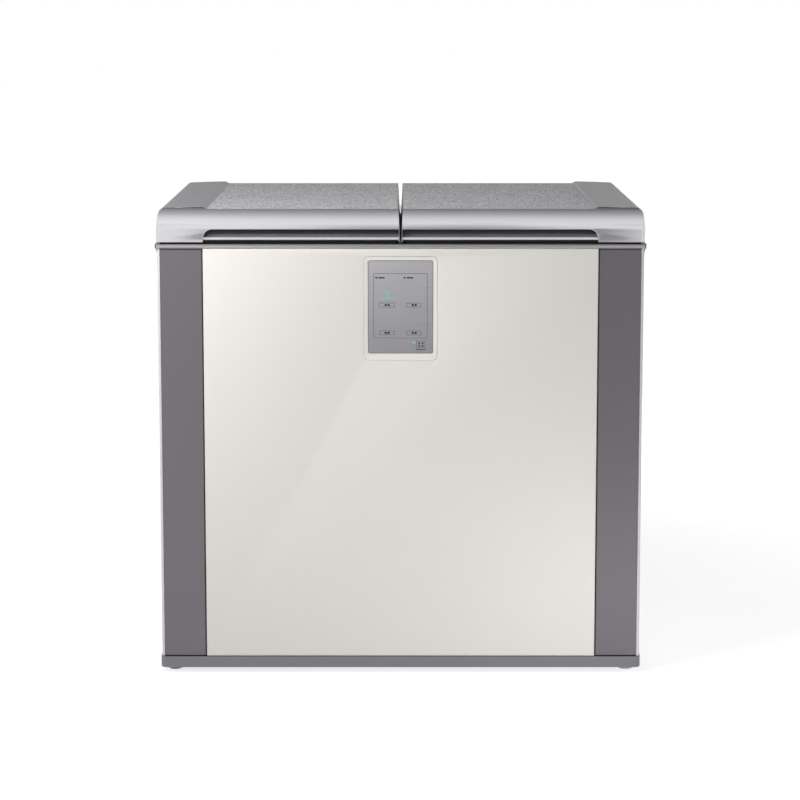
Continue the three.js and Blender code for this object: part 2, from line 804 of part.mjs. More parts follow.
function compressorMounts() {
  const bore = grommetStud + fitGap;
  const waist = grommetRadius - 2.5;
  const middle = grommetHeight / 2;
  return compressorFeet.map(([x, y], i) => {
    const rubber = turned(
      [
        [bore, 0],
        [grommetRadius, 0],
        [grommetRadius, middle - 3],
        [waist, middle],
        [grommetRadius, middle + 3],
        [grommetRadius, grommetHeight],
        [bore, grommetHeight],
        [bore, 0],
      ],
      14,
    );
    return piece("compressor_grommet_" + (i + 1), rubber, looks.rubber, [x, y, grommetLow]);
  });
}

function compressor() {
  const canTop = canLow + canHeight;
  const can = turned(
    [
      [0, canLow - 6],
      [canRadius - 24, canLow - 3],
      [canRadius - 8, canLow + 8],
      [canRadius, canLow + 28],
      [canRadius, canTop - 52],
      [canRadius - 8, canTop - 20],
      [canRadius - 28, canTop - 5],
      [0, canTop],
    ],
    24,
  );
  const plateX = mountPitch.x / 2 + 16;
  const plateY = mountPitch.y / 2 + 12;
  const plate = alongZ(roundedRect(-plateX, plateX, -plateY, plateY, 10), fitGap, fitGap + compressorPlate);
  const pedestal = rod(canRadius - 26, canLow, "z", 0, 0, fitGap + canLow / 2, 16);
  let body = can.add(plate).add(pedestal);
  for (const [x, y] of compressorFeet) {
    const hole = rod(grommetStud + 1, 12, "z", x - compressorX, y - compressorY, fitGap, 12);
    body = body.subtract(hole);
  }
  // terminal cover, discharge stub and suction stub, all on the front of the can
  body = body.add(block(-26, 26, -canRadius - 16, -canRadius + 14, canLow + 44, canLow + 84));
  const stub = 60;
  const stubY = stub / 2 - stubReach;
  for (const [at, radius] of [
    [dischargeAt, pipeRadius],
    [suctionAt, pipeRadius + 1],
  ])
    body = body.add(rod(radius, stub, "y", at.x - compressorX, stubY, at.z - grommetTop, 8));
  return piece("compressor", body, looks.black, [compressorX, compressorY, grommetTop]);
}

function fanBracket() {
  const half = fanRadius + 22;
  const top = fanZ + fanRadius + 24;
  const reach = fanRadius + 10; // the cross arms end inside the plate
  const arm = 5;
  const low = plateTop + fitGap;
  const x1 = fanX + bracketThick;
  let plate = block(fanX, x1, fanY - half, fanY + half, low, top);
  plate = plate.subtract(rod(fanRadius + fanHoleGap, 20, "x", fanX, fanY, fanZ, 24));
  plate = plate.add(block(fanX, x1, fanY - arm, fanY + arm, fanZ - reach, fanZ + reach));
  plate = plate.add(block(fanX, x1, fanY - reach, fanY + reach, fanZ - arm, fanZ + arm));
  plate = plate.add(rod(fanRadius / 2, bracketThick, "x", (fanX + x1) / 2, fanY, fanZ, 20));
  const foot = block(fanX - 22, x1, fanY - half, fanY + half, low, low + bracketThick);
  return piece("fan_bracket", plate.add(foot).subtract(rod(6, 20, "x", fanX, fanY, fanZ, 16)), looks.black);
}

function fanMotor() {
  const bore = shaftRadius + runningGap;
  const shoulder = motorRadius - 3;
  const floor = motorLength - motorBackWall;
  const can = turned([
    [bore, 0],
    [shoulder, 0],
    [motorRadius, 3],
    [motorRadius, motorLength - 3],
    [shoulder, motorLength],
    [0, motorLength],
    [0, floor],
    [bore, floor],
    [bore, 0],
  ]);
  const mesh = piece("fan_motor", can, looks.steel, [fanX + bracketThick + fitGap, fanY, fanZ]);
  mesh.rotation.y = Math.PI / 2;
  return mesh;
}

// the hub, its blades and the shaft that runs in the motor
function fanRotor() {
  const hubX = -16; // in front of the bracket
  const hubRadius = 14;
  let rotor = rod(hubRadius, 16, "x", hubX, 0, 0, 18);
  const blades = 5;
  const root = hubRadius - 2;
  const span = fanRadius - root;
  for (let i = 0; i < blades; i++) {
    const blade = new THREE.BoxGeometry(2, 26, span);
    blade.rotateZ(0.6).translate(hubX, 0, root + span / 2).rotateX((2 * Math.PI * i) / blades);
    rotor = rotor.add(solid(blade));
  }
  const shaftEnd = bracketThick + fitGap + motorLength - motorBackWall - 1;
  rotor = rotor.add(rod(shaftRadius, shaftEnd - hubX, "x", (shaftEnd + hubX) / 2, 0, 0, 12));
  return piece("fan_rotor", rotor, looks.black, [fanX, fanY, fanZ]);
}

// one serpentine tube through upright fins; the two end fins stand on the base
function condenser() {
  const corners = [[condenserX0 - condenserInlet, fanY, condenserTop]];
  for (let i = 0; i < condenserPasses; i++) {
    const z = condenserTop - i * condenserPitch;
    const end = i % 2 ? condenserX0 : condenserX1;
    corners.push([end, fanY, z]);
    if (i < condenserPasses - 1) corners.push([end, fanY, z - condenserPitch]);
  }
  corners.push([condenserX1, fanY - drierDrop, condenserLow]);
  let coil = tube(corners, condenserPitch / 2 - 0.5, pipeRadius, 2);
  const first = condenserX0 + condenserPitch / 2 + 5;
  const last = condenserX1 - condenserPitch / 2 - 5;
  for (let i = 0; i < finCount; i++) {
    const x = first + ((last - first) * i) / (finCount - 1);
    const low = i === 0 || i === finCount - 1 ? plateTop + fitGap : condenserLow - 10;
    coil = coil.add(block(x - 0.6, x + 0.6, fanY - finHalf, fanY + finHalf, low, condenserTop + 10));
  }
  return piece("condenser", coil, looks.black);
}

function drier() {
  const body = turned(
    [
      [0, 0],
      [pipeRadius, 0],
      [pipeRadius, 8],
      [drierRadius, 16],
      [drierRadius, drierLength - 14],
      [capillaryRadius + 1, drierLength - 6],
      [capillaryRadius + 1, drierLength],
      [0, drierLength],
    ],
    12,
  );
  const mesh = piece("filter_drier", body, looks.copper, [condenserX1, drierY, condenserLow]);
  mesh.rotation.x = Math.PI / 2;
  return mesh;
}

// from the compressor, round the front of the fan bracket, to the condenser
function dischargeTube() {
  const { x, z } = dischargeAt;
  const frontRun = stubEndY - 18;
  const end = condenserX0 - condenserInlet - fitGap;
  const corners = [
    [x, stubEndY, z],
    [x, frontRun, z],
    [end - 24, frontRun, z],
    [end - 24, fanY, z],
    [end, fanY, z],
  ];
  return piece("discharge_tube", tube(corners, 9, pipeRadius), looks.copper);
}

// rises out of a level tube whose axis is at z = low, and is a little thicker where it is brazed on
function branchTube(radius, x, y, low, top) {
  const start = low - radius / 3;
  return rod(radius + branchSwell, top - start, "z", x, y, (top + start) / 2, 8);
}

// from both evaporators' outlets to the compressor
function suctionTube() {
  const low = tailBottom - 22;
  const top = tailBottom - fitGap;
  const { x, z } = suctionAt;
  const corners = [
    [tailX, tailY, top],
    [tailX, tailY, low],
    [x, tailY, low],
    [x, tailY, z],
    [x, stubEndY, z],
  ];
  const branch = branchTube(pipeRadius, -tailX, tailY, low, top);
  return piece("suction_tube", tube(corners, 12, pipeRadius).add(branch), looks.copper);
}

// from the drier to both evaporators' inlets
function capillaryTube() {
  const low = tailBottom - 13;
  const top = tailBottom - fitGap;
  const corners = [
    [condenserX1, drierY - drierLength - fitGap, condenserLow],
    [condenserX1, riserY, condenserLow],
    [condenserX1, riserY, low],
    [-riserX, riserY, low],
    [-riserX, riserY, top],
  ];
  const branch = branchTube(capillaryRadius, riserX, riserY, low, top);
  return piece("capillary_tube", tube(corners, 8, capillaryRadius).add(branch), looks.copper);
}

function controlBox() {
  const { width, depth, height } = controlBoxSize;
  const x0 = sideInner - controlBoxFromSide - width;
  const y0 = frontY + controlBoxFromFront;
  const low = plateTop + fitGap;
  const rect = (grow) => roundedRect(x0 - grow, x0 + width + grow, y0 - grow, y0 + depth + grow, 6 + grow);
  const lip = alongZ(rect(3), low + height - 8, low + height - 4);
  return piece("control_box", alongZ(rect(0), low, low + height).add(lip), looks.white);
}

// ---------------------------------------------------------------- lids, drawn for the right-hand side
const inlaySeat = {
  x0: centreGapTop + inlayEdge,
  x1: wingX - wingSlope - 0.2,
  y0: frontY + inlayFrontInset,
  y1: lidRearY - inlayRearInset,
};
// the room inside a lid, above its inner panel
const lidInner = {
  x0: centreGapTop + lidCentreWall,
  x1: lidOuter - lidSideWall,
  y0: seamY + fitGap,
  y1: lidRearY - lidWall,
  z1: deckZ - lidWall,
};
const lidPan = {
  x0: throat.x0 + plugClearance,
  x1: throat.x1 - plugClearance,
  y0: throat.y0 + plugClearance + 3,
  y1: throat.y1 - plugClearance - 3,
  z0: lidLinerLow - plugDepth,
};

// seen from the front: the side leans in and rolls over to the raised wing, which steps down to the inlay
function lidFrontShape() {
  const top = overallHeight;
  const s = new THREE.Shape();
  s.moveTo(centreGapLow, lidSkirtZ);
  s.lineTo(lidOuter, lidSkirtZ);
  s.quadraticCurveTo(lidOuter, lidSkirtZ + 30, lidOuter - 4, top - 13);
  s.quadraticCurveTo(lidOuter - 5.5, top - 4, lidOuter - 14, top - 2.2);
  s.lineTo(wingX, top);
  s.lineTo(wingX - wingSlope, inlayZ);
  s.lineTo(centreGapTop + 2, inlayZ);
  s.quadraticCurveTo(centreGapTop, inlayZ, centreGapTop, inlayZ - 2);
  return s;
}

// seen from the side: the front bows back towards the crease, and the back is rounded at its top
function lidSideShape() {
  const top = overallHeight;
  const s = new THREE.Shape();
  s.moveTo(frontY, lidSkirtZ - 1);
  s.lineTo(lidRearY, lidSkirtZ - 1);
  s.lineTo(lidRearY, top - 9);
  s.quadraticCurveTo(lidRearY, top - 3, lidRearY - 6, top + 1);
  s.lineTo(seamY, top + 1);
  s.lineTo(seamY, top - 0.6);
  s.bezierCurveTo(frontY + 8, top - 8, frontY, top - 22, frontY, top - 46);
  return s;
}

function lidBlock() {
  const across = alongY(lidFrontShape(), frontY - 1, lidRearY + 1, 5);
  const along = alongX(lidSideShape(), -5, lidOuter + 5, 8);
  const corners = roundedRect(-20, lidOuter, frontY, lidRearY, lidCornerRadius);
  const plan = alongZ(corners, lidSkirtZ - 2, overallHeight + 2);
  const { x0, x1, y0, y1 } = inlaySeat;
  const seat = block(x0, x1, y0, y1, deckZ, overallHeight + 5);
  return across.intersect(along).intersect(plan).subtract(seat);
}

function hingeCut(x, y0, z1) {
  return block(x - hingeNotchHalf, x + hingeNotchHalf, y0, rearY, lidSkirtZ - 4, z1);
}

function lidCover(whole) {
  const high = overallHeight + 3;
  const behind = block(-30, lidOuter + 5, seamY + fitGap / 2, rearY, lidSkirtZ - 3, high);
  const { x0, x1, y1, z1 } = lidInner;
  let cover = whole.intersect(behind).subtract(block(x0, x1, seamY - 5, y1, lidSkirtZ - 5, z1));
  for (const x of hingeCentres) cover = cover.subtract(hingeCut(x, lidRearY - 20, hingeZ + hingeNotchRise));
  return cover;
}

// the finger recess: open to the front and the bottom, with a leaning back wall and a deep ceiling to pull on
function gripRecess() {
  const top = lidSkirtZ + gripRise;
  const below = lidSkirtZ - 3;
  const rise = top - lidLinerLow;
  const x0 = centreGapTop + gripCheek;
  const x1 = wingX;
  const y = frontY;
  const r = gripCornerRadius;
  const mouth = new THREE.Shape();
  mouth.moveTo(x0, below);
  mouth.lineTo(x1, below);
  mouth.lineTo(x1, top - r);
  mouth.absarc(x1 - r, top - r, r, 0, Math.PI / 2);
  mouth.lineTo(x0, top);
  const backWall = outline([
    [y - 2, below],
    [y + gripLip, below],
    [y + gripLip, lidLinerLow],
    [y + gripLip + 3.5, lidLinerLow + 0.4 * rise],
    [y + gripDeep - 2, lidLinerLow + 0.8 * rise],
    [y + gripDeep, top],
    [y - 2, top],
  ]);
  return alongY(mouth, y - 2, seamY, 4).intersect(alongX(backWall, x0, x1));
}

function lidHandle(whole) {
  const low = lidSkirtZ - 3;
  const ahead = block(-30, lidOuter + 5, frontY - 5, seamY - fitGap / 2, low, overallHeight + 3);
  const side = lidOuter - handleSkin - 1.5;
  const gasketRoom = block(centreGapTop - 1, side, frontY + handleSkin, seamY + 1, low, lidLinerLow);
  return whole.intersect(ahead).subtract(gasketRoom).subtract(gripRecess());
}

function lidInlay() {
  const { x0, x1, y0, y1 } = inlaySeat;
  const g = fitGap;
  return block(x0 + g, x1 - g, y0 + g, y1 - g, deckZ + g, inlayZ);
}

// the pan's outline, drawn in by an inset
function panOutline(inset) {
  const { x0, x1, y0, y1 } = lidPan;
  return roundedRect(x0 + inset, x1 - inset, y0 + inset, y1 - inset, throatRadius - inset);
}

function lidLiner() {
  const { x0, x1, y0, y1 } = lidInner;
  const g = fitGap;
  let plate = block(x0 + g, x1 - g, y0, y1 - g, lidLinerLow, lidLinerTop);
  plate = plate.add(alongZ(panOutline(0), lidPan.z0, lidLinerLow + 1));
  plate = plate.subtract(alongZ(panOutline(panWall), lidPan.z0 + panWall, lidLinerTop + 1));
  const cutFront = hingeY - barrelRadius - 3.5;
  for (const x of hingeCentres) plate = plate.subtract(hingeCut(x, cutFront, lidLinerTop + 5));
  return plate;
}

function lidFoam() {
  const { x0, x1, y0, y1, z1 } = lidInner;
  const g = fitGap;
  const t = panWall + g;
  const leafRoom = leafHalf + 6;
  const leafFront = hingeY - leafLength - 4;
  let foam = block(x0 + g, x1 - g, y0, y1 - g, lidLinerTop + g, z1 - g);
  foam = foam.add(alongZ(panOutline(t), lidPan.z0 + t, lidLinerTop + 2));
  for (const x of hingeCentres) {
    foam = foam.subtract(block(x - leafRoom, x + leafRoom, leafFront, rearY, lidLinerTop - 1, hingeZ + 10));
    foam = foam.subtract(hingeCut(x, lidRearY - 26, hingeZ + hingeNotchRise + 2));
  }
  return foam;
}

function lidGasket() {
  const x0 = lidInner.x0 + 0.6;
  const x1 = lidInner.x1 - 0.6;
  const y0 = frontY + gripLip;
  const y1 = hingeY - earRadius;
  const w = gasketWidth;
  const z1 = gasketLow + gasketHeight;
  const ring = block(x0, x1, y0, y1, gasketLow, z1);
  return ring.subtract(block(x0 + w, x1 - w, y0 + w, y1 - w, gasketLow - 1, z1 + 1));
}

// the lid's half of a hinge: a barrel on the pin and an arm along the inner panel
function hingeLeaf(x) {
  const low = lidLinerTop + fitGap;
  const arm = block(x - leafHalf, x + leafHalf, hingeY - leafLength, hingeY - 3, low, low + leafThick);
  const barrel = rod(barrelRadius, 2 * barrelHalf, "x", x, hingeY, hingeZ, 20);
  const bore = rod(pinRadius + runningGap, 3 * barrelHalf, "x", x, hingeY, hingeZ, 16);
  return arm.add(barrel).subtract(bore);
}

// the cabinet's half: a foot, two ears and the riveted pin
function hingeBracket(x) {
  const low = rimTop + fitGap;
  const earX = barrelHalf + earGap;
  const reach = earX + earThick;
  const ear = new THREE.Shape();
  ear.moveTo(hingeY - earRadius + 1.5, low);
  ear.lineTo(hingeY + earRadius + 5, low);
  ear.lineTo(hingeY + earRadius, hingeZ - 4);
  ear.absarc(hingeY, hingeZ, earRadius, 0, Math.PI);
  const footHalf = reach + 2;
  let body = block(x - footHalf, x + footHalf, hingeY - 4, rearSheetY - 3, low, low + bracketFoot);
  for (const start of [x - reach, x + earX]) body = body.add(alongX(ear, start, start + earThick, 4));
  body = body.add(rod(pinRadius, 2 * reach + pinHead, "x", x, hingeY, hingeZ, 16));
  for (const end of [-1, 1]) {
    const headX = x + end * (reach + pinHead / 2);
    body = body.add(rod(pinHeadRadius, pinHead, "x", headX, hingeY, hingeZ, 16));
  }
  return body;
}

function lidAssembly(side) {
  const whole = lidBlock();
  const [inner, outer] = hingeCentres;
  const lidPieces = [
    ["lid_cover_", lidCover(whole), looks.silver],
    ["lid_handle_", lidHandle(whole), looks.silver],
    ["lid_inlay_", lidInlay(), looks.inlay],
    ["lid_foam_", lidFoam(), looks.foam],
    ["lid_liner_", lidLiner(), looks.white],
    ["lid_gasket_", lidGasket(), looks.rubber],
    ["hinge_leaf_inner_", hingeLeaf(inner), looks.steel],
    ["hinge_leaf_outer_", hingeLeaf(outer), looks.steel],
  ];
  // the group's own origin is on the hinge axis, so turning it about X opens the lid
  const lid = new THREE.Group();
  lid.position.set(0, hingeY, hingeZ);
  for (const [name, body, look] of lidPieces) {
    lid.add(piece(name + side, body.translate(0, -hingeY, -hingeZ), look));
  }
  const brackets = [
    piece("hinge_bracket_inner_" + side, hingeBracket(inner), looks.steel),
    piece("hinge_bracket_outer_" + side, hingeBracket(outer), looks.steel),
  ];
  return handed(side, lid, brackets);
}

// ---------------------------------------------------------------- kimchi tubs, two in the left compartment
const tub = (() => {
  const width = liner.x1 - liner.x0 - 2 * linerWall - 2 * tubSideGap;
  const inside = liner.y1 - liner.y0 - 2 * linerWall;
  const depth = (inside - 3 * tubEndGap) / 2;
  return { width, depth, spread: depth / 2 + tubEndGap / 2 };
})();
const tubMiddleX = -(liner.x0 + liner.x1) / 2;
const tubMiddleY = (liner.y0 + liner.y1) / 2;
const tubRimInset = 2; // the lid's skirt stands this far outside the tub's rim
const tubBodyInset = tubRimInset + tubRim;

// a rounded rectangle about the tub's axis, drawn in from the edge of its lid
function tubOutline(inset, r) {
  const x = tub.width / 2 - inset;
  const y = tub.depth / 2 - inset;
  return roundedRect(-x, x, -y, y, r);
}

function kimchiTub() {
  const body = alongZ(tubOutline(tubBodyInset, tubRadius), 0, tubHeight);
  const rim = alongZ(tubOutline(tubRimInset, tubRadius + tubRim), tubHeight - tubRim, tubHeight);
  const inside = tubOutline(tubBodyInset + tubWall, tubRadius - tubWall);
  return body.add(rim).subtract(alongZ(inside, tubWall, tubHeight + 1));
}

function kimchiTubLid() {
  const low = tubHeight - tubLidSkirt;
  const under = tubHeight + fitGap;
  const top = under + tubLidThick;
  const cap = alongZ(tubOutline(0, tubRadius + tubBodyInset), low, top);
  const room = alongZ(tubOutline(tubRimInset - fitGap, tubRadius + tubRim + fitGap), low - 1, under);
  // a raised frame stops a tub that is stacked on the lid from sliding
  const outer = alongZ(tubOutline(tubLidRingInset, tubRadius), top - 1, top + tubLidRing);
  const inner = alongZ(tubOutline(tubLidRingInset + 4, tubRadius - 4), top, top + tubLidRing + 1);
  return cap.subtract(room).add(outer.subtract(inner));
}

function tubAssembly(place) {
  const group = assembly(
    piece("kimchi_tub_" + place, kimchiTub(), looks.tub),
    piece("kimchi_tub_lid_" + place, kimchiTubLid(), looks.tubLid),
  );
  const way = place === "front" ? -1 : 1;
  group.position.set(tubMiddleX, tubMiddleY + way * tub.spread, liner.z0 + linerWall + fitGap);
  return group;
}

// ---------------------------------------------------------------- the refrigerator
const refrigerator = new THREE.Group();
refrigerator.add(
  baseTray(),
  ...sides.map(levellingFoot),
  ...sides.map(roller),
  ...sides.map(sidePanel),
  ...sides.map(frontStrip),
  frontPanel(),
  rearPanel(),
  machineCover(),
  cordGland(),
  topFrame(),
  insulation(),
  ...sides.map(linerTub),
  ...sides.map(evaporator),
  controlBezel(),
  controlWindow(),
  controlBoard(),
  ...compressorMounts(),
  compressor(),
  condenser(),
  drier(),
  dischargeTube(),
  suctionTube(),
  capillaryTube(),
  fanBracket(),
  fanMotor(),
  fanRotor(),
  controlBox(),
  ...sides.map(lidAssembly),
  tubAssembly("front"),
  tubAssembly("rear"),
);

export default refrigerator;
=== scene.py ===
# %% [markdown]
# # A two-lid kimchi refrigerator
# The construction comes packed: every panel, hinge and tube is already there at its real size.
# This lesson gives it its looks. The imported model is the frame, and each new piece is modelled
# over the node that it stands for, in metres, in the same place.

# %% The frame
import json
import math

import bmesh
import bpy
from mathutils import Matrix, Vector


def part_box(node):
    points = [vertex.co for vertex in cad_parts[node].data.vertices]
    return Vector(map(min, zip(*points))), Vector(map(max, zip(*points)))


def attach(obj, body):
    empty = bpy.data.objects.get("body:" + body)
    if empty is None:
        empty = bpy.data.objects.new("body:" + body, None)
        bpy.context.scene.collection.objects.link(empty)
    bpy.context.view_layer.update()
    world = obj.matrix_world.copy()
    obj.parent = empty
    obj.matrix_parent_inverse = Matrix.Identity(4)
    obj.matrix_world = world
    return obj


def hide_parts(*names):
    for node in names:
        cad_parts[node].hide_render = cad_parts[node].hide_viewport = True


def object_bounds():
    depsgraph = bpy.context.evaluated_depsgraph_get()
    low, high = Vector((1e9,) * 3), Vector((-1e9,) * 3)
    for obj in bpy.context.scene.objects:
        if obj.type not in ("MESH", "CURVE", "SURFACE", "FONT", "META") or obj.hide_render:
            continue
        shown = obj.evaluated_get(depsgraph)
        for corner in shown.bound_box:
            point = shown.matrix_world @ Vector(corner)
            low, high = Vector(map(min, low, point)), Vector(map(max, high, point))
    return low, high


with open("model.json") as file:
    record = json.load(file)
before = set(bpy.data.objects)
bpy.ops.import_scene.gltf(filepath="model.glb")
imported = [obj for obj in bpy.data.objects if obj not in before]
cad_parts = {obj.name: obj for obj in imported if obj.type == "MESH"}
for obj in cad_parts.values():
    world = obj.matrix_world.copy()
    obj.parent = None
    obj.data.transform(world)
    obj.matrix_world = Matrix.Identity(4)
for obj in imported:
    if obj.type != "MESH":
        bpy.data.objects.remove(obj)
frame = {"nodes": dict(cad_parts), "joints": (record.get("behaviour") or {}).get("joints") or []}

frame_low, frame_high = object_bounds()
scene = bpy.context.scene
mm = 0.001
print("frame", [round(v, 4) for v in (*frame_low, *frame_high)], len(frame["nodes"]), "nodes")

# %% [markdown]
# ## The camera
# The refrigerator is seen square from the front and a little from above, from about five metres,
# through a long lens, so that its sides stay almost upright. A level camera with a large lens shift
# would keep them quite upright, but every other view would inherit that shift, so the camera is
# pitched down instead, and only a slight shift is left.

# %% The camera
camera_x, camera_height = -1.14 * mm, 1.298
camera_distance = 4.807  # lid front to the lens
camera_pitch = math.radians(8.44)
camera_data = bpy.data.cameras.new("camera")
camera_data.sensor_width = 36
camera_data.lens = 115.65
camera_data.shift_y = -0.035
camera = bpy.data.objects.new("camera", camera_data)
camera.location = (camera_x, frame_low.y - camera_distance, camera_height)
camera.rotation_euler = (math.pi / 2 - camera_pitch, 0, 0)
scene.collection.objects.link(camera)
scene.camera = camera
print("camera at", [round(v, 3) for v in camera.location], "lens", camera_data.lens)

# %% [markdown]
# ## Writing a node tree
# Every finish below is a node tree. A few small helpers keep that readable: they open a tree, add a
# node with its settings and its inputs, and turn a colour as it is read off a screen into the linear
# values that a shader works in.

# %% Helpers: nodes
def open_tree(tree):
    """Makes a tree the one that add() builds in, and empties it."""
    global nodes, links
    nodes, links = tree.nodes, tree.links
    nodes.clear()
    return tree


def plug(node, socket, value):
    """Sets an input to a value, or joins it to another node's output."""
    if isinstance(value, bpy.types.NodeSocket):
        links.new(value, node.inputs[socket])
    else:
        node.inputs[socket].default_value = value


def add(kind, inputs=(), **settings):
    """Adds a shader node. Its inputs are a list, in order, or a dictionary by name or number."""
    node = nodes.new("ShaderNode" + kind)
    for key, value in settings.items():
        setattr(node, key, value)
    pairs = inputs.items() if isinstance(inputs, dict) else enumerate(inputs)
    for socket, value in pairs:
        plug(node, socket, value)
    return node


def maths(operation, *values, clamp=False):
    """A Math node's output."""
    return add("Math", values, operation=operation, use_clamp=clamp).outputs[0]


def screen(red, green, blue):
    """A colour of 0 to 255, as seen on a screen, in a shader's linear values."""
    linear = [(c / 255 + 0.055) ** 2.4 / 1.055**2.4 if c > 10 else c / 3294.6 for c in (red, green, blue)]
    return (*linear, 1.0)


def grey(value, blue=0.0):
    """A linear grey, with a trace more blue if asked."""
    return (value, value, value + blue, 1)


def ramp_over(value, *stops):
    """A colour ramp over a value. Each stop is a place and a colour."""
    ramp = add("ValToRGB", [value])
    elements = ramp.color_ramp.elements
    for place, colour in stops[2:]:
        elements.new(place)
    for element, (place, colour) in zip(elements, stops):
        element.position = place
        element.color = colour
    return ramp.outputs[0]


print("mid grey of 128 is", round(screen(128, 128, 128)[0], 3), "in linear light")

# %% [markdown]
# ## Studio: room, lamps and floor
# A product studio is a pale room with large soft lamps. The room is brightest in front of the object
# and falls off towards its ceiling and its far wall. A silver lid's bowed front mirrors that whole
# sweep, from the dark far wall at its crease to the bright front wall at its foot, and so do its
# tones. The camera, glossy and glass rays see the room at full strength, so the background is
# white, while the light that it sheds on the object is set apart from that. Six lamps are left out
# of reflections, because the silver would blow out where it mirrored them. The gleam in front and
# the rear lamp are the two that metal may show.

# %% The room
world = bpy.data.worlds.new("studio")
scene.world = world
world.use_nodes = True
scene.view_settings.view_transform = "Standard"
open_tree(world.node_tree)
white, haze, wall_grey = grey(1), grey(0.59, 0.005), grey(0.42, 0.005)
dim_wall, ceiling, front_wall = grey(0.03, 0.003), grey(0.23, 0.005), grey(0.48, 0.005)
way = add("SeparateXYZ", [add("TexCoord").outputs["Generated"]]).outputs
low_part = ramp_over(way["Z"], (0.0, white), (0.06, haze), (0.25, wall_grey))
to_front = add("MapRange", [way["Y"], 0.6, -0.9]).outputs[0]
high_part = ramp_over(to_front, (0.0, dim_wall), (0.4, ceiling), (0.75, front_wall), (1.0, white))
is_high = add("MapRange", [way["Z"], 0.2, 0.45]).outputs[0]
is_front = add("MapRange", [way["Y"], -0.5, -0.8]).outputs[0]
either = maths("MAXIMUM", is_high, is_front)
tone = add("Mix", {0: either, 6: low_part, 7: high_part}, data_type="RGBA").outputs[2]
rays = add("LightPath").outputs
seen = maths("ADD", rays["Is Camera Ray"], rays["Is Transmission Ray"])
seen = maths("ADD", seen, rays["Is Glossy Ray"], clamp=True)
shed_light = add("Background", {"Color": tone, "Strength": 0.18})
backdrop = add("Background", {"Color": tone, "Strength": 1.0})
room = add("MixShader", [seen, shed_light.outputs[0], backdrop.outputs[0]])
add("OutputWorld", [room.outputs[0]])
print("room of", len(nodes), "nodes")

# %% Lamps
def softbox(name, place, aim, size, watts, in_gloss):
    """A rectangular area lamp that faces a point. The lamp itself isn't in any picture."""
    lamp = bpy.data.lights.new(name, "AREA")
    lamp.shape = "RECTANGLE"
    lamp.size, lamp.size_y = size
    lamp.energy = watts
    holder = bpy.data.objects.new(name, lamp)
    holder.location = place
    holder.rotation_euler = (Vector(aim) - Vector(place)).to_track_quat("-Z", "Y").to_euler()
    holder.visible_camera = False
    holder.visible_glossy = in_gloss
    scene.collection.objects.link(holder)


# Name, place, what it faces, size, watts, and whether metal mirrors it.
lamps = [
    ("key_left", (-1.0, -1.25, 1.6), (-0.25, -0.35, 0.7), (0.8, 0.7), 25.5, False),
    ("low_right", (0.55, -0.95, 0.08), (0.25, -0.35, 0.08), (0.4, 0.12), 1.7, False),
    ("wide_front", (0.45, -3.4, 1.65), (0.1, -0.35, 0.8), (2.6, 1.2), 13, False),
    ("front_gleam", (0.45, -3.4, 1.4), (0.1, -0.35, 0.8), (2.6, 0.9), 3.2, True),
    ("rear", (0.9, 3.0, 0.42), (0, 0.3, 0.45), (1.8, 0.8), 22, True),
    ("overhead", (0, 0.4, 2.7), (0, 0.1, 0.9), (1.6, 1.2), 5, False),
    ("beside", (-2.6, 0.35, 0.8), (-0.46, 0.0, 0.5), (1.1, 1.0), 13, False),
    ("beside", (2.6, -0.3, 0.8), (0.46, 0.0, 0.5), (1.1, 1.0), 13, False),
]
for lamp in lamps:
    softbox(*lamp)

# %% [markdown]
# The floor is a sheet of white paper that sweeps away into the backdrop. Near the cabinet it is
# ordinary matt paper, which takes the shadow. Its glow, which only the camera and glossy surfaces
# see, grows with the distance, so that no horizon shows where the paper ends.

# %% The floor
bpy.ops.object.select_all(action="DESELECT")
floor_size, floor_drop = 60, 0.6 * mm
bpy.ops.mesh.primitive_plane_add(size=floor_size, location=(0, 0, -floor_drop))
floor = bpy.context.object
floor.name = "floor"
paper = bpy.data.materials.new("floor_paper")
paper.use_nodes = True
open_tree(paper.node_tree)
away = add("VectorMath", [add("TexCoord").outputs["Object"]], operation="LENGTH").outputs["Value"]
near, far, near_glow, far_glow = 0.7, 2.4, 0.76, 0.99
glow = add("MapRange", [away, near, far, near_glow, far_glow], interpolation_type="SMOOTHSTEP")
rays = add("LightPath").outputs
looked_at = maths("MAXIMUM", rays["Is Camera Ray"], rays["Is Glossy Ray"])
shine = add("Emission", {"Strength": maths("MULTIPLY", glow.outputs[0], looked_at)})
matt = add("BsdfDiffuse", {"Color": grey(0.55)})
add("OutputMaterial", [add("AddShader", [matt.outputs[0], shine.outputs[0]]).outputs[0]])
floor.data.materials.append(paper)
print("floor", tuple(floor.dimensions))

# %% [markdown]
# A photographer holds a black card low in front of curved metal, because metal takes its form from
# what it mirrors: the foot of each lid's bowed front then turns darker than its middle. Only
# glossy rays see the card, so it throws no shadow and isn't in any picture.

# %% The black card
bpy.ops.object.select_all(action="DESELECT")
card_place, card_size, standing = (0.15, -1.9, 0.61), (2.5, 0.46, 1), (math.pi / 2, 0, 0)
bpy.ops.mesh.primitive_plane_add(size=1, location=card_place, rotation=standing, scale=card_size)
card = bpy.context.object
card.name = "black_card"
card_black = bpy.data.materials.new("card_black")
card_black.use_nodes = True
open_tree(card_black.node_tree)
fleck = add("TexNoise", {"Scale": 40.0}).outputs["Fac"]
velvet = ramp_over(fleck, (0.3, grey(0.02)), (0.7, grey(0.04)))
add("OutputMaterial", [add("BsdfDiffuse", {"Color": velvet}).outputs[0]])
card.data.materials.append(card_black)
for kind_of_ray in ("camera", "diffuse", "transmission", "shadow", "volume_scatter"):
    setattr(card, "visible_" + kind_of_ray, False)
print("card", tuple(round(v, 3) for v in card.dimensions))

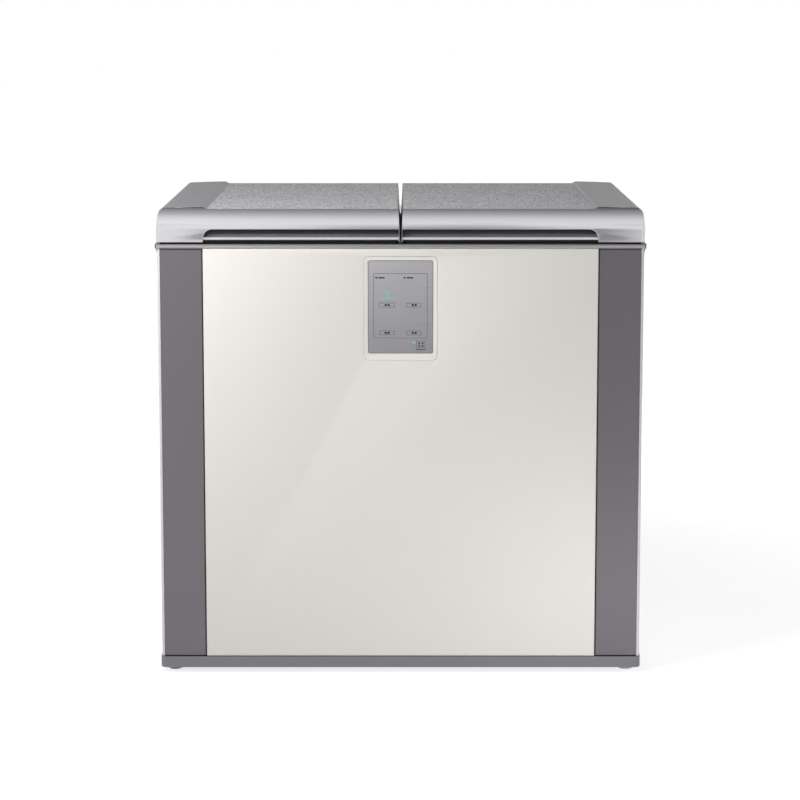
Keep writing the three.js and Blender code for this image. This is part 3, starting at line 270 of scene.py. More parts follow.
# %% [markdown]
# ## Working by hand, in code
# Every piece below is made as a modeller makes it: a primitive at its size and place, then edit mode.
# An operator acts on whatever is selected, so each helper first deselects everything, and faces,
# edges and points are then picked by where they are.

# %% Helpers: select and pick
upright, across, deep = Vector((0, 0, 1)), Vector((1, 0, 0)), Vector((0, 1, 0))


def work_on(piece):
    """Selects one piece alone, in object mode."""
    if bpy.context.mode != "OBJECT":
        bpy.ops.object.mode_set(mode="OBJECT")
    bpy.ops.object.select_all(action="DESELECT")
    piece.select_set(True)
    bpy.context.view_layer.objects.active = piece
    return piece


def pick(piece, kind, test=lambda thing: True):
    """Goes into edit mode and selects the piece's faces, edges or points that pass the test."""
    if bpy.context.mode != "EDIT_MESH":
        work_on(piece)
        bpy.ops.object.mode_set(mode="EDIT")
    bpy.ops.mesh.select_mode(type=kind)
    bpy.ops.mesh.select_all(action="DESELECT")
    shape = bmesh.from_edit_mesh(piece.data)
    things = {"FACE": shape.faces, "EDGE": shape.edges, "VERT": shape.verts}[kind]
    found = [thing for thing in things if test(thing)]
    for thing in found:
        thing.select_set(True)
    bmesh.update_edit_mesh(piece.data)
    return len(found)


def ends(edge):
    """The two end points of an edge."""
    return edge.verts[0].co, edge.verts[1].co


def runs(edge, way):
    """Whether an edge runs along a direction."""
    a, b = ends(edge)
    return abs((b - a).normalized().dot(way)) > 0.999


print("the floor has", pick(floor, "EDGE", lambda e: runs(e, across)), "edges across")
work_on(floor)

# %% Helpers: blocks and drawn outlines
def block(name, low, high):
    """A box between two corners."""
    low, high = Vector(low), Vector(high)
    work_on(floor)
    bpy.ops.mesh.primitive_cube_add(size=1, location=(low + high) / 2, scale=high - low)
    piece = bpy.context.object
    bpy.ops.object.transform_apply(location=True, rotation=True, scale=True)
    piece.name = name
    return piece


def round_edges(piece, radius, steps, test):
    """Bevels the picked edges to an arc of the radius."""
    pick(piece, "EDGE", test)
    bpy.ops.mesh.bevel(offset=radius, offset_type="OFFSET", segments=steps, affect="EDGES")
    return work_on(piece)


def round_block(name, low, high, radius, steps, way):
    """A box whose edges along one way are rounded."""
    return round_edges(block(name, low, high), radius, steps, lambda e: runs(e, way))


def drawn(name, points, sweep=None, closed=True):
    """An outline drawn point by point, then filled and pulled along the sweep."""
    points = [Vector(p) for p in points]
    work_on(floor)
    bpy.ops.mesh.primitive_plane_add(size=mm, location=points[0])
    piece = bpy.context.object
    bpy.ops.object.transform_apply(location=True, rotation=True, scale=True)
    piece.name = name
    bpy.ops.object.mode_set(mode="EDIT")
    bpy.ops.mesh.select_mode(type="VERT")
    bpy.ops.mesh.select_all(action="SELECT")
    bpy.ops.mesh.merge(type="CENTER")
    for a, b in zip(points, points[1:]):
        bpy.ops.mesh.extrude_vertices_move(TRANSFORM_OT_translate={"value": b - a})
    bpy.ops.mesh.select_all(action="SELECT")
    if closed:
        bpy.ops.mesh.edge_face_add()
    if sweep is not None:
        bpy.ops.mesh.select_all(action="SELECT")
        bpy.ops.mesh.extrude_region_move(TRANSFORM_OT_translate={"value": Vector(sweep)})
        bpy.ops.mesh.select_all(action="SELECT")
        bpy.ops.mesh.normals_make_consistent(inside=False)
    return work_on(piece)


def curve(steps, *controls):
    """Points of the smooth curve that its control points pull, from the second point on."""
    found = []
    for i in range(1, steps + 1):
        level = [Vector(c) for c in controls]
        while len(level) > 1:
            level = [a.lerp(b, i / steps) for a, b in zip(level, level[1:])]
        found.append(level[0])
    return found


print("half way round a corner:", tuple(curve(2, (0, 0, 0), (1, 0, 0), (1, 1, 0))[0]))

# %% [markdown]
# A hole or a corner where two forms meet is cut by a boolean, because it is exact and needs no
# counting of edges. Both halves of the object are alike, so a piece that comes in pairs is mostly made
# for the right side and mirrored for the left. Last of all a piece gets rounded edges, its finish,
# and the body that it moves with.

# %% Helpers: cut, copy and move
def modified(piece, kind, **settings):
    """Adds a modifier with its settings, and applies it."""
    work_on(piece)
    modifier = piece.modifiers.new(kind.title(), kind)
    for key, value in settings.items():
        setattr(modifier, key, value)
    bpy.ops.object.modifier_apply(modifier=modifier.name)
    return piece


def join_or_cut(piece, tool, operation="DIFFERENCE", keep=False):
    """Cuts the tool out of the piece, or joins them, or keeps what they share."""
    modified(piece, "BOOLEAN", object=tool, operation=operation, solver="EXACT")
    if not keep:
        discard(tool)
    return piece


def copied(piece, name):
    """A copy with its own mesh."""
    twin = piece.copy()
    twin.data = piece.data.copy()
    twin.name = name
    scene.collection.objects.link(twin)
    return twin


def mirrored(piece, name):
    """The same piece on the other side of the middle, with its faces turned out again."""
    twin = work_on(copied(piece, name))
    twin.scale.x = -1
    bpy.ops.object.transform_apply(location=True, rotation=True, scale=True)
    pick(twin, "FACE")
    bpy.ops.mesh.normals_make_consistent(inside=False)
    return work_on(twin)


def on_side(pattern, name, side):
    """A copy of a right-hand pattern for one side, mirrored for the left."""
    make = mirrored if side == "left" else copied
    return make(pattern, name + side)


def moved(piece, step):
    """Moves the whole of a piece's mesh, so that its origin stays where it is."""
    pick(piece, "FACE")
    bpy.ops.transform.translate(value=step)
    return work_on(piece)


def discard(*patterns):
    """Removes patterns that have served."""
    for pattern in patterns:
        bpy.data.objects.remove(pattern)


trial = join_or_cut(block("trial", (0, 0, 0), (1, 1, 1)), block("bite", (0.5, 0.5, 0.5), (2, 2, 2)))
print("a cube with a corner cut out has", len(trial.data.polygons), "faces")
discard(trial)

# %% Helpers: finish a piece
usual_round = 0.4 * mm


def softened(piece, width=usual_round, steps=2, angle=32):
    """Rounds every sharp edge a little, and shades the flats flat."""
    work_on(piece)
    bpy.ops.object.shade_smooth()
    sharp = {"limit_method": "ANGLE", "angle_limit": math.radians(angle)}
    return modified(piece, "BEVEL", width=width, segments=steps, harden_normals=True, **sharp)


def settle(piece, body, slot, look, *stands_for):
    """Gives a finished piece its material, the body that it moves with and the nodes that it stands for."""
    piece.data.materials.clear()
    piece.data.materials.append(look)
    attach(piece, body)
    if stands_for:
        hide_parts(*stands_for)
    print(piece.name, len(piece.data.polygons), "faces, on", body)
    return piece


print("edges are rounded by", usual_round / mm, "mm unless a piece says otherwise")

# %% [markdown]
# ## Effects that the finishes share
# A real surface is never one flat colour. Four small node groups give it what it needs: a slow
# mottling of the tone, a fine moulded grain, drawn brush lines, and dust on what faces up. Each is
# built once, and every finish places it with its own values.

# %% Groups: mottle, grain, brushing, dust
def new_group(name, inputs, outputs):
    """Opens a new node group with named inputs and outputs, and returns both its ends."""
    tree = open_tree(bpy.data.node_groups.new(name, "ShaderNodeTree"))
    new_socket = tree.interface.new_socket
    for label, value in inputs.items():
        socket = new_socket(name=label, in_out="INPUT", socket_type="NodeSocketFloat")
        socket.default_value = value
    for label in outputs:
        new_socket(name=label, in_out="OUTPUT", socket_type="NodeSocketFloat")
    return tree, nodes.new("NodeGroupInput").outputs, nodes.new("NodeGroupOutput")


def place_group(tree, inputs):
    """Puts a group in the material that is being built."""
    node = nodes.new("ShaderNodeGroup")
    node.node_tree = tree
    for label, value in inputs.items():
        plug(node, label, value)
    return node.outputs


def noise(place, scale, detail=2.0, roughness=0.5):
    """A noise texture's value."""
    inputs = {"Vector": place, "Scale": scale, "Detail": detail, "Roughness": roughness}
    return add("TexNoise", inputs).outputs["Fac"]


def wavering(value, middle, spread):
    """A gain that rises and falls about 1 as the value does about its middle."""
    return maths("MULTIPLY_ADD", maths("SUBTRACT", value, middle), spread, 1.0)


mottle, ends_in, ends_out = new_group("mottle", {"Size": 0.1, "Amount": 0.05}, ["Gain"])
here = add("TexCoord").outputs["Object"]
wide = noise(here, maths("DIVIDE", 1.0, ends_in["Size"]), 3.0)
plug(ends_out, "Gain", wavering(wide, 0.5, ends_in["Amount"]))

grain, ends_in, ends_out = new_group("moulded_grain", {"Size": 0.001, "Spread": 0.1}, ["Height", "Gain"])
here = add("TexCoord").outputs["Object"]
fine = noise(here, maths("DIVIDE", 1.0, ends_in["Size"]), 2.0, 0.6)
plug(ends_out, "Height", fine)
plug(ends_out, "Gain", wavering(fine, 0.5, ends_in["Spread"]))

line_sizes = {"Pitch": 0.0006, "Length": 0.06, "Spread": 0.1}
brushing, ends_in, ends_out = new_group("brushing", line_sizes, ["Height", "Gain"])
here = add("SeparateXYZ", [add("TexCoord").outputs["Object"]]).outputs
drawn_out = add("CombineXYZ", [maths("DIVIDE", here["X"], ends_in["Length"])])
for axis in ("Y", "Z"):
    plug(drawn_out, axis, maths("DIVIDE", here[axis], ends_in["Pitch"]))
streak = noise(drawn_out.outputs[0], 1.0, 3.0, 0.65)
plug(ends_out, "Height", streak)
plug(ends_out, "Gain", wavering(streak, 0.5, ends_in["Spread"]))

dust, ends_in, ends_out = new_group("dust", {"Amount": 0.1}, ["Mask"])
facing_up = add("SeparateXYZ", [add("NewGeometry").outputs["Normal"]]).outputs["Z"]
settled = maths("MULTIPLY", maths("MAXIMUM", facing_up, 0.0), ends_in["Amount"])
patches = noise(add("TexCoord").outputs["Object"], 14.0, 5.0, 0.7)
plug(ends_out, "Mask", maths("MULTIPLY", settled, patches))
print("groups", [g.name for g in (mottle, grain, brushing, dust)])

# %% [markdown]
# ## Finishes
# Most of the pieces are moulded plastic, coated steel or bare metal. One function makes nearly all:
# the tone wavers by the mottle, the grain lifts the surface a little and breaks its gloss, and dust
# dulls what faces up. What sets a finish apart is its colour, its gloss and the size of its grain,
# so those are what each one gives, in that order: the colour as it is read off a screen, the gloss
# as a roughness, and the grain's size and height in millimetres. Numbers after them replace the
# usual spread, tone, patch and dust.

# %% Finishes: the common recipe
def open_finish(name):
    """A new material with an empty tree, opened."""
    look = bpy.data.materials.new(name)
    look.use_nodes = True
    open_tree(look.node_tree)
    return look


def toned(colour, *gains):
    """A colour multiplied by each gain in turn."""
    for gain in gains:
        spread = add("CombineXYZ", [gain, gain, gain]).outputs[0]
        colour = add("VectorMath", [colour, spread], operation="MULTIPLY").outputs[0]
    return colour


def surface(base, rough, height=None, lift=0.02 * mm, **constants):
    """The shader: a base colour, a roughness, a relief of the given lift in metres, and plain values."""
    shader = add("BsdfPrincipled", {"Base Color": base, "Roughness": rough})
    for socket, value in constants.items():
        shader.inputs[socket.replace("_", " ")].default_value = value
    if height is not None:
        bump = add("Bump", {"Distance": lift, "Height": height})
        links.new(bump.outputs[0], shader.inputs["Normal"])
    add("OutputMaterial", [shader.outputs[0]])
    return shader


def veiled(gain, veil, gloss):
    """A roughness that wavers with a gain and is duller under the dust."""
    return maths("MULTIPLY", gain, maths("MULTIPLY_ADD", veil, 0.4, gloss), clamp=True)


def finish(
    name, colour, gloss, grain_size, lift, spread=0.12, tone=0.06, patch=0.12, dusty=0.06, **constants
):
    """A moulded, coated or cast finish."""
    look = open_finish(name)
    blotch = place_group(mottle, {"Size": patch, "Amount": tone})["Gain"]
    pores = place_group(grain, {"Size": grain_size * mm, "Spread": spread})
    veil = place_group(dust, {"Amount": dusty})["Mask"]
    clean = toned(screen(*colour)[:3], blotch)
    grey_dust = screen(176, 174, 170)
    base = add("Mix", {0: veil, 6: clean, 7: grey_dust}, data_type="RGBA").outputs[2]
    surface(base, veiled(pores["Gain"], veil, gloss), pores["Height"], lift * mm, **constants)
    return look


def brushed(name, colour, gloss, pitch, length, **constants):
    """A metal with fine lines drawn along X. The lines' pitch and length are in millimetres."""
    look = open_finish(name)
    blotch = place_group(mottle, {"Size": 0.16, "Amount": 0.05})["Gain"]
    lines = place_group(brushing, {"Pitch": pitch * mm, "Length": length * mm, "Spread": 0.3})
    veil = place_group(dust, {"Amount": 0.05})["Mask"]
    tone = toned(screen(*colour)[:3], blotch, wavering(lines["Gain"], 1.0, 0.35))
    surface(tone, veiled(lines["Gain"], veil, gloss), lines["Height"], 0.004 * mm, **constants)
    return look


# %% Finishes: plastics, rubbers and foam
silver = finish("silver_paint", (216, 215, 218), 0.31, 0.5, 0.004, 0.2, 0.03, 0.3, Metallic=0.84)
# The rim's silver is a darker, less metallic copy of the lids' silver paint: painted shade for the rim below
# the lids.
rim_silver_shaded = finish("rim_paint", (172, 171, 174), 0.4, 0.5, 0.004, 0.2, 0.03, 0.3, Metallic=0.6)
base_grey = finish("base_moulding", (122, 121, 125), 0.4, 0.7, 0.008, 0.15, 0.04, Metallic=0.3)
bezel_cream = finish("cream_moulding", (232, 229, 223), 0.38, 0.9, 0.006, 0.12, 0.02)
foot_grey = finish("foot_nylon", (206, 206, 208), 0.42, 1.1, 0.02, 0.2, Subsurface_Weight=0.25)
white_plastic = finish("white_moulding", (236, 236, 234), 0.36, 0.9, 0.01, 0.15, 0.03)
black_plastic = finish("black_moulding", (30, 30, 32), 0.55, 0.8, 0.02, 0.25, 0.2)
gasket_black = finish("gasket_skin", (17, 17, 18), 0.72, 1.4, 0.03, 0.2, 0.2, dusty=0.02)
mount_rubber = finish("mount_cushion", (22, 22, 22), 0.8, 1.2, 0.05, 0.2, 0.2)
tub_cream = finish("tub_moulding", (226, 220, 205), 0.3, 1.0, 0.01, 0.2, 0.03, Subsurface_Weight=0.1)
tub_lid_green = finish("tub_lid_moulding", (178, 190, 182), 0.34, 1.0, 0.012, 0.2, 0.04)
foam_yellow = finish("insulating_foam", (228, 212, 158), 0.95, 3.0, 1.2, 0.05, 0.25, 0.05)
print("plastics", [m.name for m in (silver, base_grey, bezel_cream, white_plastic, black_plastic)])

# %% Finishes: steel, aluminium and copper
side_grey = finish("side_coating", (212, 210, 212), 0.4, 1.6, 0.015, 0.12, 0.03, Metallic=0.1)
rear_grey = finish("rear_zinc", (158, 160, 162), 0.5, 6.0, 0.01, 0.3, 0.12, 0.03, Metallic=0.7)
compressor_black = finish("compressor_paint", (32, 32, 34), 0.4, 1.0, 0.05, 0.3, 0.25, dusty=0.25)
motor_grey = finish("motor_can", (150, 152, 155), 0.42, 0.8, 0.02, 0.3, 0.1, Metallic=0.6)
copper = finish("copper_tube", (196, 128, 92), 0.34, 2.0, 0.02, 0.4, 0.35, 0.02, Metallic=0.95)
coil_grey = finish("aluminium_tube", (190, 192, 194), 0.4, 2.0, 0.02, 0.3, 0.15, 0.03, Metallic=0.9)
hinge_grey = brushed("hinge_plate", (186, 187, 189), 0.36, 0.5, 30, Metallic=0.9)
liner_grey = brushed("liner_sheet", (214, 215, 217), 0.4, 0.8, 120, Metallic=0.75)
print("metals", [m.name for m in (side_grey, rear_grey, compressor_black, motor_grey, copper, coil_grey)])

# %% [markdown]
# ## The lids
# Each lid is a shell of silver-painted plastic in two mouldings: a cover with a raised wing at the
# outer side, and a front moulding with the finger recess. Their outside is one form, so it is made
# once and parted at the seam. It could be pushed and pulled out of a block, but all of its edges are
# curves that run into each other at the corner. Three drawn outlines, seen from the front, the side
# and above, each pulled through and intersected, give that corner by themselves.

# %% Lid: sizes read off the frame
handle_low, handle_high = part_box("lid_handle_right")
cover_low, cover_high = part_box("lid_cover_right")
inlay_low, inlay_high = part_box("lid_inlay_right")
lid_front, lid_back, lid_side = handle_low.y, cover_high.y, cover_high.x
skirt, lid_top, deck = handle_low.z, cover_high.z, inlay_high.z
seam = (handle_high.y + cover_low.y) / 2
seam_gap = cover_low.y - handle_high.y
gap_low = handle_low.x  # half the gap between the lids, at the skirt
gap_top = inlay_low.x - 2.1 * mm
wing_edge = inlay_high.x + 6.5 * mm  # the wing's inner edge, above its bevel
print("lid", [round(v, 4) for v in (gap_low, lid_side, lid_front, lid_back, skirt, lid_top)])

# %% Lid: three outlines and what they share
def lid_from_front(y):
    """The lid's outline seen from the front: the side leans in and rolls over to the wing."""
    outline = [(gap_low, y, skirt), (lid_side, y, skirt)]
    shoulder = (lid_side - 4 * mm, y, lid_top - 13 * mm)
    crown = (lid_side - 14 * mm, y, lid_top - 2.2 * mm)
    outline += curve(10, outline[-1], (lid_side, y, skirt + 30 * mm), shoulder)
    outline += curve(8, shoulder, (lid_side - 5.5 * mm, y, lid_top - 4 * mm), crown)
    wing_end = (wing_edge + 1 * mm, y, lid_top)
    outline += curve(4, crown, (wing_edge + 20 * mm, y, lid_top + 0.1 * mm), wing_end)
    brow, foot = (wing_edge - 1 * mm, y, lid_top - 0.6 * mm), (wing_edge - 5 * mm, y, deck + 0.5 * mm)
    outline += [brow, foot, (wing_edge - 6 * mm, y, deck), (gap_top + 2 * mm, y, deck)]
    return outline + curve(4, outline[-1], (gap_top, y, deck), (gap_top, y, deck - 2 * mm))


def lid_from_side(x):
    """Seen from the side: the front bows back to the crease, and the back is rounded at its top."""
    back_edge, back_top = (x, lid_back, lid_top - 9 * mm), (x, lid_back - 6 * mm, lid_top + 1 * mm)
    outline = [(x, lid_front, skirt - 1 * mm), (x, lid_back, skirt - 1 * mm), back_edge]
    outline += curve(6, back_edge, (x, lid_back, lid_top - 3 * mm), back_top)
    crease = (x, seam, lid_top - 1.6 * mm)
    outline += [(x, seam, lid_top + 1 * mm), crease]
    pull_back, pull_down = (x, lid_front + 8 * mm, lid_top - 6.5 * mm), (x, lid_front, lid_top - 22 * mm)
    return outline + curve(20, crease, pull_back, pull_down, (x, lid_front, lid_top - 46 * mm))


def lid_form(name):
    """The outside of a whole right-hand lid, as one solid."""
    over = 2 * mm
    form = drawn(name, lid_from_front(lid_front - over), (0, lid_back - lid_front + 2 * over, 0))
    along = drawn("lid_side_form", lid_from_side(-over), (lid_side + 2 * over, 0, 0))
    plan = block("lid_plan_form", (-lid_side, lid_front, skirt - over), (lid_side, lid_back, lid_top + over))
    corner = 8 * mm
    round_edges(plan, corner, 8, lambda e: runs(e, upright) and ends(e)[0].x > 0)
    join_or_cut(form, along, "INTERSECT")
    return join_or_cut(form, plan, "INTERSECT")


whole_lid = lid_form("lid_form")
print("whole lid", len(whole_lid.data.polygons), "faces")

# %% [markdown]
# The cover is what lies behind the seam. Its top has a shallow seat for the metal inlay, its inside
# is hollow for the foam, and two notches at the back give the hinges room, each in a walled pocket
# that keeps the foam in. All of its edges get a small round, because a moulding has no sharp edge,
# and that round is what catches the light.

# %% Lid cover
def parted(piece, name, y, keep_front):
    """A copy of the piece, cut off at y."""
    part = copied(piece, name)
    pick(part, "FACE")
    plane = {"plane_co": (0, y, 0), "plane_no": (0, 1, 0), "use_fill": True}
    bpy.ops.mesh.bisect(**plane, clear_outer=keep_front, clear_inner=not keep_front)
    return work_on(part)


leaves = [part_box("hinge_leaf_inner_right"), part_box("hinge_leaf_outer_right")]
hinge_middles = [(low.x + high.x) / 2 for low, high in leaves]
foam_low, foam_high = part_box("lid_foam_right")
hinge_axis_z = frame["joints"][0]["pos_m"][2]
cover = parted(whole_lid, "lid_cover", seam + seam_gap / 2, keep_front=False)
seat_edge = 0.3 * mm
seat = block(
    "inlay_seat",
    (inlay_low.x - seat_edge, inlay_low.y - seat_edge, inlay_low.z - seat_edge),
    (inlay_high.x + seat_edge, inlay_high.y + seat_edge, lid_top + 5 * mm),
)
join_or_cut(cover, seat, keep=True)
room_top = foam_high.z + 0.3 * mm
room = block("foam_room", (foam_low.x, seam - 5 * mm, skirt - 5 * mm), (foam_high.x, foam_high.y, room_top))
join_or_cut(cover, room)
notch_half, notch_deep, notch_wall, notch_round = 31 * mm, 20 * mm, 1.2 * mm, 4 * mm
notch_top = hinge_axis_z + 19 * mm
pan_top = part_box("lid_liner_right")[1].z + 0.3 * mm
for x in hinge_middles:
    walls_low = Vector((x - notch_half - notch_wall, lid_back - notch_deep - notch_wall, pan_top))
    walls_high = Vector((x + notch_half + notch_wall, lid_back - 1 * mm, notch_top + notch_wall))
    join_or_cut(cover, block("notch_walls", walls_low, walls_high), "UNION")
    notch_low = Vector((x - notch_half, lid_back - notch_deep, skirt - 5 * mm))
    notch = block("notch", notch_low, (x + notch_half, 1, notch_top))
    round_edges(notch, notch_round, 4, lambda e: runs(e, deep) and ends(e)[0].z > skirt)
    join_or_cut(cover, notch)
softened(cover, 0.5 * mm)
print("cover", len(cover.data.polygons), "faces")

# %% [markdown]
# The front moulding has the finger recess: open to the front and below, with a scooped lip at its
# foot and a back wall that leans away from the fingers. Its mouth is a drawn shape with one round
# corner, and its back wall another, and the room is what the two share. On the real lid the mouth's
# edge is rounded too, and it draws a thin light line round the recess, so that edge is picked out
# and bevelled by itself.

# %% The finger recess: the room that the fingers take
grip_side = wing_edge
grip_centre = gap_low + 1.6 * mm
grip_top = skirt + 24 * mm
grip_corner = 18 * mm
grip_lip, grip_deep = lid_front + 6.5 * mm, lid_front + 20 * mm
lip_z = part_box("lid_liner_right")[0].z + 22.3 * mm
ledge = lip_z + 8.5 * mm  # where the silver lip ends and the pocket's painted shade starts


def grip_room(inset=0.0):
    """The recess's room, smaller by the inset all round."""
    below, ahead, top = skirt - 3 * mm, lid_front - 2 * mm, grip_top - inset
    side, radius = grip_side - inset, grip_corner - inset
    mouth = [(grip_centre + inset, ahead, below), (side, ahead, below), (side, ahead, top - radius)]
    for i in range(1, 13):
        turn = math.radians(90 * i / 12)
        mouth.append((side - radius * (1 - math.cos(turn)), ahead, top - radius * (1 - math.sin(turn))))
    mouth.append((grip_centre + inset, ahead, top))
    room = drawn("grip_room", mouth, (0, seam - ahead, 0))
    lip, deep_wall = grip_lip - inset, grip_deep - inset
    foot, shelf, crown = (0, lip, lip_z), (0, lip + 6 * mm, ledge), (0, deep_wall, top + 0.1 * mm)
    wall = [(0, ahead, below), (0, lip, below), foot]
    wall += curve(8, foot, (0, lip, ledge - 2 * mm), shelf)
    wall += curve(6, shelf, (0, deep_wall, ledge + 0.5 * mm), (0, deep_wall, ledge + 4 * mm))
    wall += [crown, (0, ahead, top + 0.1 * mm)]
    return join_or_cut(room, drawn("grip_wall", wall, (lid_side, 0, 0)), "INTERSECT")


def on_mouth(point):
    """Whether a point lies on the recess's edge, on the lid's front."""
    if point.y > lid_front + 1 * mm or point.z < skirt + 0.5 * mm:
        return False
    x, z = point.x - (grip_side - grip_corner), point.z - (grip_top - grip_corner)
    if x > 0 and z > 0:
        return abs(math.hypot(x, z) - grip_corner) < 0.1 * mm
    return abs(point.z - grip_top) < 0.05 * mm or abs(point.x - grip_side) < 0.05 * mm


print("recess", round((grip_side - grip_centre) / mm, 1), "mm wide")

# %% Front moulding
handle = parted(whole_lid, "lid_handle", seam - seam_gap / 2, keep_front=True)
gasket_side = lid_side - 6.5 * mm
gasket_room = block("gasket_room", (0, lid_front + 5 * mm, skirt - 3 * mm), (gasket_side, 1, lip_z))
join_or_cut(handle, gasket_room)
join_or_cut(handle, grip_room())
join_or_cut(handle, seat)
mouth_round = 1.3 * mm
round_edges(handle, mouth_round, 3, lambda e: on_mouth(ends(e)[0]) and on_mouth(ends(e)[1]))
softened(handle, 0.5 * mm)
print("front moulding", len(handle.data.polygons), "faces")

# %% [markdown]
# Where the two mouldings meet, the cover stands a little higher, and a black strip in the seam draws
# a thin dark line along the crease: painted shade for the shadow line between the mouldings. The
# strip is a slice of the same form, cut out at the seam, let down by half a millimetre so that it
# stays behind the edge.

# %% Seam strip of painted shade
seam_shade_half, seam_shade_drop, seam_shade_tall = 0.15 * mm, 0.5 * mm, 12 * mm
behind = parted(whole_lid, "behind", seam - seam_shade_half, keep_front=False)
seam_shade = parted(behind, "seam_seal", seam + seam_shade_half, keep_front=True)
moved(seam_shade, (0, 0, -seam_shade_drop))
shade_seal_low = Vector((gap_top + 1 * mm, seam - 1 * mm, lid_top - seam_shade_tall))
join_or_cut(seam_shade, block("seal_part", shade_seal_low, (lid_side - 5 * mm, seam + 1 * mm, lid_top)), "INTERSECT")
discard(behind, whole_lid)
print("seam_shade", len(seam_shade.data.polygons), "faces")

# %% [markdown]
# Above its silver lip the recess is dark: a black pocket stands there, painted shade for the shadow
# deep in the recess. It is the same room, a little smaller, with a still smaller one cut out of it, so
# that a thin wall is left, and only the part above the lip and behind the mouth's edge is kept. Its
# foot is painted in a silver tone that fades into the black upwards, so that the painted shade grades
# into the lip instead of ending there.

# %% Finish: painted shade, black above a silver tone at its foot
def sprayed_pocket():
    """Painted shade: black above, grading down into a silver tone at its foot."""
    look = open_finish("pocket_plastic")
    pores = place_group(grain, {"Size": 0.8 * mm, "Spread": 0.25})
    rise = add("SeparateXYZ", [add("TexCoord").outputs["Object"]]).outputs["Z"]
    shade_fade_top = ledge + 6.5 * mm
    climb = add("MapRange", [rise, ledge, shade_fade_top]).outputs[0]
    # From the lip upwards: a painted light foot, then half and then full painted shade.
    painted_light_foot, half_shade, full_shade = screen(168, 167, 170), screen(96, 96, 99), screen(58, 58, 62)
    tone = ramp_over(climb, (0.0, painted_light_foot), (0.4, half_shade), (1.0, full_shade))
    surface(toned(tone, pores["Gain"]), 0.6, pores["Height"], 0.02 * mm)
    return look


shade_pocket_look = sprayed_pocket()
print("finish", shade_pocket_look.name)

# %% The pocket of painted shade
shade_pocket_play, shade_pocket_wall = 0.15 * mm, 0.9 * mm
shade_pocket = join_or_cut(grip_room(shade_pocket_play), grip_room(shade_pocket_play + shade_pocket_wall))
upper_back = block("pocket_part", (0, lid_front + 2.2 * mm, ledge), (lid_side, seam, lid_top))
join_or_cut(shade_pocket, upper_back, "INTERSECT")
softened(shade_pocket, 0.2 * mm, 1)
print("shade_pocket", len(shade_pocket.data.polygons), "faces")

# %% Both lids' shells
# The black of the grip pocket and of the seam strip is painted shade.
shells = [
    (cover, "lid_cover_shell_", "silver_plastic", silver, "lid_cover_"),
    (handle, "lid_front_shell_", "silver_plastic", silver, "lid_handle_"),
    (shade_pocket, "grip_pocket_", "black_plastic", shade_pocket_look),
    (seam_shade, "lid_seam_seal_", "gasket_rubber", gasket_black),
]
for side in ("right", "left"):
    for pattern, name, slot, look, *nodes_shown in shells:
        stands_for = [node + side for node in nodes_shown]
        settle(on_side(pattern, name, side), side + "_lid", slot, look, *stands_for)
discard(cover, handle, shade_pocket, seam_shade)

# %% [markdown]
# ## The metal inlay
# Each lid's deck carries a thin sheet with a frosted pattern: small bright and dark flakes, longer
# than wide, that each lean their own way and so catch the light or not. Engraving thousands of them
# as geometry would cost much and show little. A Voronoi texture deals out cells of random tone, and
# the same tone tilts the relief, so the flakes glitter by reflection and not by paint alone.

# %% Finish: frosted flakes
def frosted_sheet():
    """Metal foil with a frost of leaning flakes."""
    look = open_finish("frosted_inlay")
    here = add("TexCoord").outputs["Object"]
    drift = add("TexNoise", {"Vector": here, "Scale": 90.0, "Detail": 3.0}).outputs["Color"]
    shift = (6 * mm, 6 * mm, 0.0)
    bent = add("VectorMath", {0: drift, 1: shift, 2: here}, operation="MULTIPLY_ADD").outputs[0]
    lean = add("Mapping", {"Vector": bent, "Rotation": (0, 0, 0.35), "Scale": (1.0, 0.55, 1.0)}).outputs[0]
    flakes = add("TexVoronoi", {"Vector": lean, "Scale": 380.0, "Randomness": 1.0}).outputs
    flake = add("SeparateColor", [flakes["Color"]]).outputs
    crumbs = add("TexVoronoi", {"Vector": bent, "Scale": 800.0}).outputs
    crumb = add("SeparateColor", [crumbs["Color"]]).outputs
    patch = place_group(mottle, {"Size": 0.05, "Amount": 0.30})["Gain"]
    mixed = maths("MULTIPLY_ADD", flake[0], 0.6, maths("MULTIPLY", crumb[0], 0.4))
    dark, plain, light = screen(142, 140, 148), screen(218, 217, 221), screen(248, 248, 251)
    tone = ramp_over(mixed, (0.16, dark), (0.40, plain), (0.58, light), (0.68, screen(255, 255, 255)))
    rough = maths("MULTIPLY_ADD", flake[1], 0.25, 0.3)
    surface(toned(tone, patch), rough, mixed, 0.25 * mm, Metallic=0.3)
    return look


frosted = frosted_sheet()
print("finish", frosted.name)

# %% Inlay sheets
for side in ("right", "left"):
    low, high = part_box("lid_inlay_" + side)
    corner = 1.2 * mm
    sheet = softened(round_block("lid_inlay_sheet_" + side, low, high, corner, 4, upright), 0.35 * mm)
    settle(sheet, side + "_lid", "lid_inlay", frosted, "lid_inlay_" + side)

# %% [markdown]
# ## Gaskets
# A lid closes on a magnetic gasket: a soft black tube with a fold on its outer side, pushed into the
# inner panel all round. From the front only its fold shows, as a black line with a thin grey
# highlight. It is a ring cut from two blocks, and the fold is a slimmer ring cut out of it. A black
# fin on its inner run closes the gap between the lids; its black is painted shade for the shadow deep
# in that gap, seen from above.

# %% Gaskets
def ring(name, low, high, width, radius, steps=4):
    """A rounded frame of the given width between two corners."""
    low, high = Vector(low), Vector(high)
    inset = Vector((width, width, -1 * mm))
    outer = round_block(name, low, high, radius, steps, upright)
    inner_radius = max(radius - width, 2 * mm)
    inner = round_block("ring_room", low + inset, high - inset, inner_radius, steps, upright)
    return join_or_cut(outer, inner)


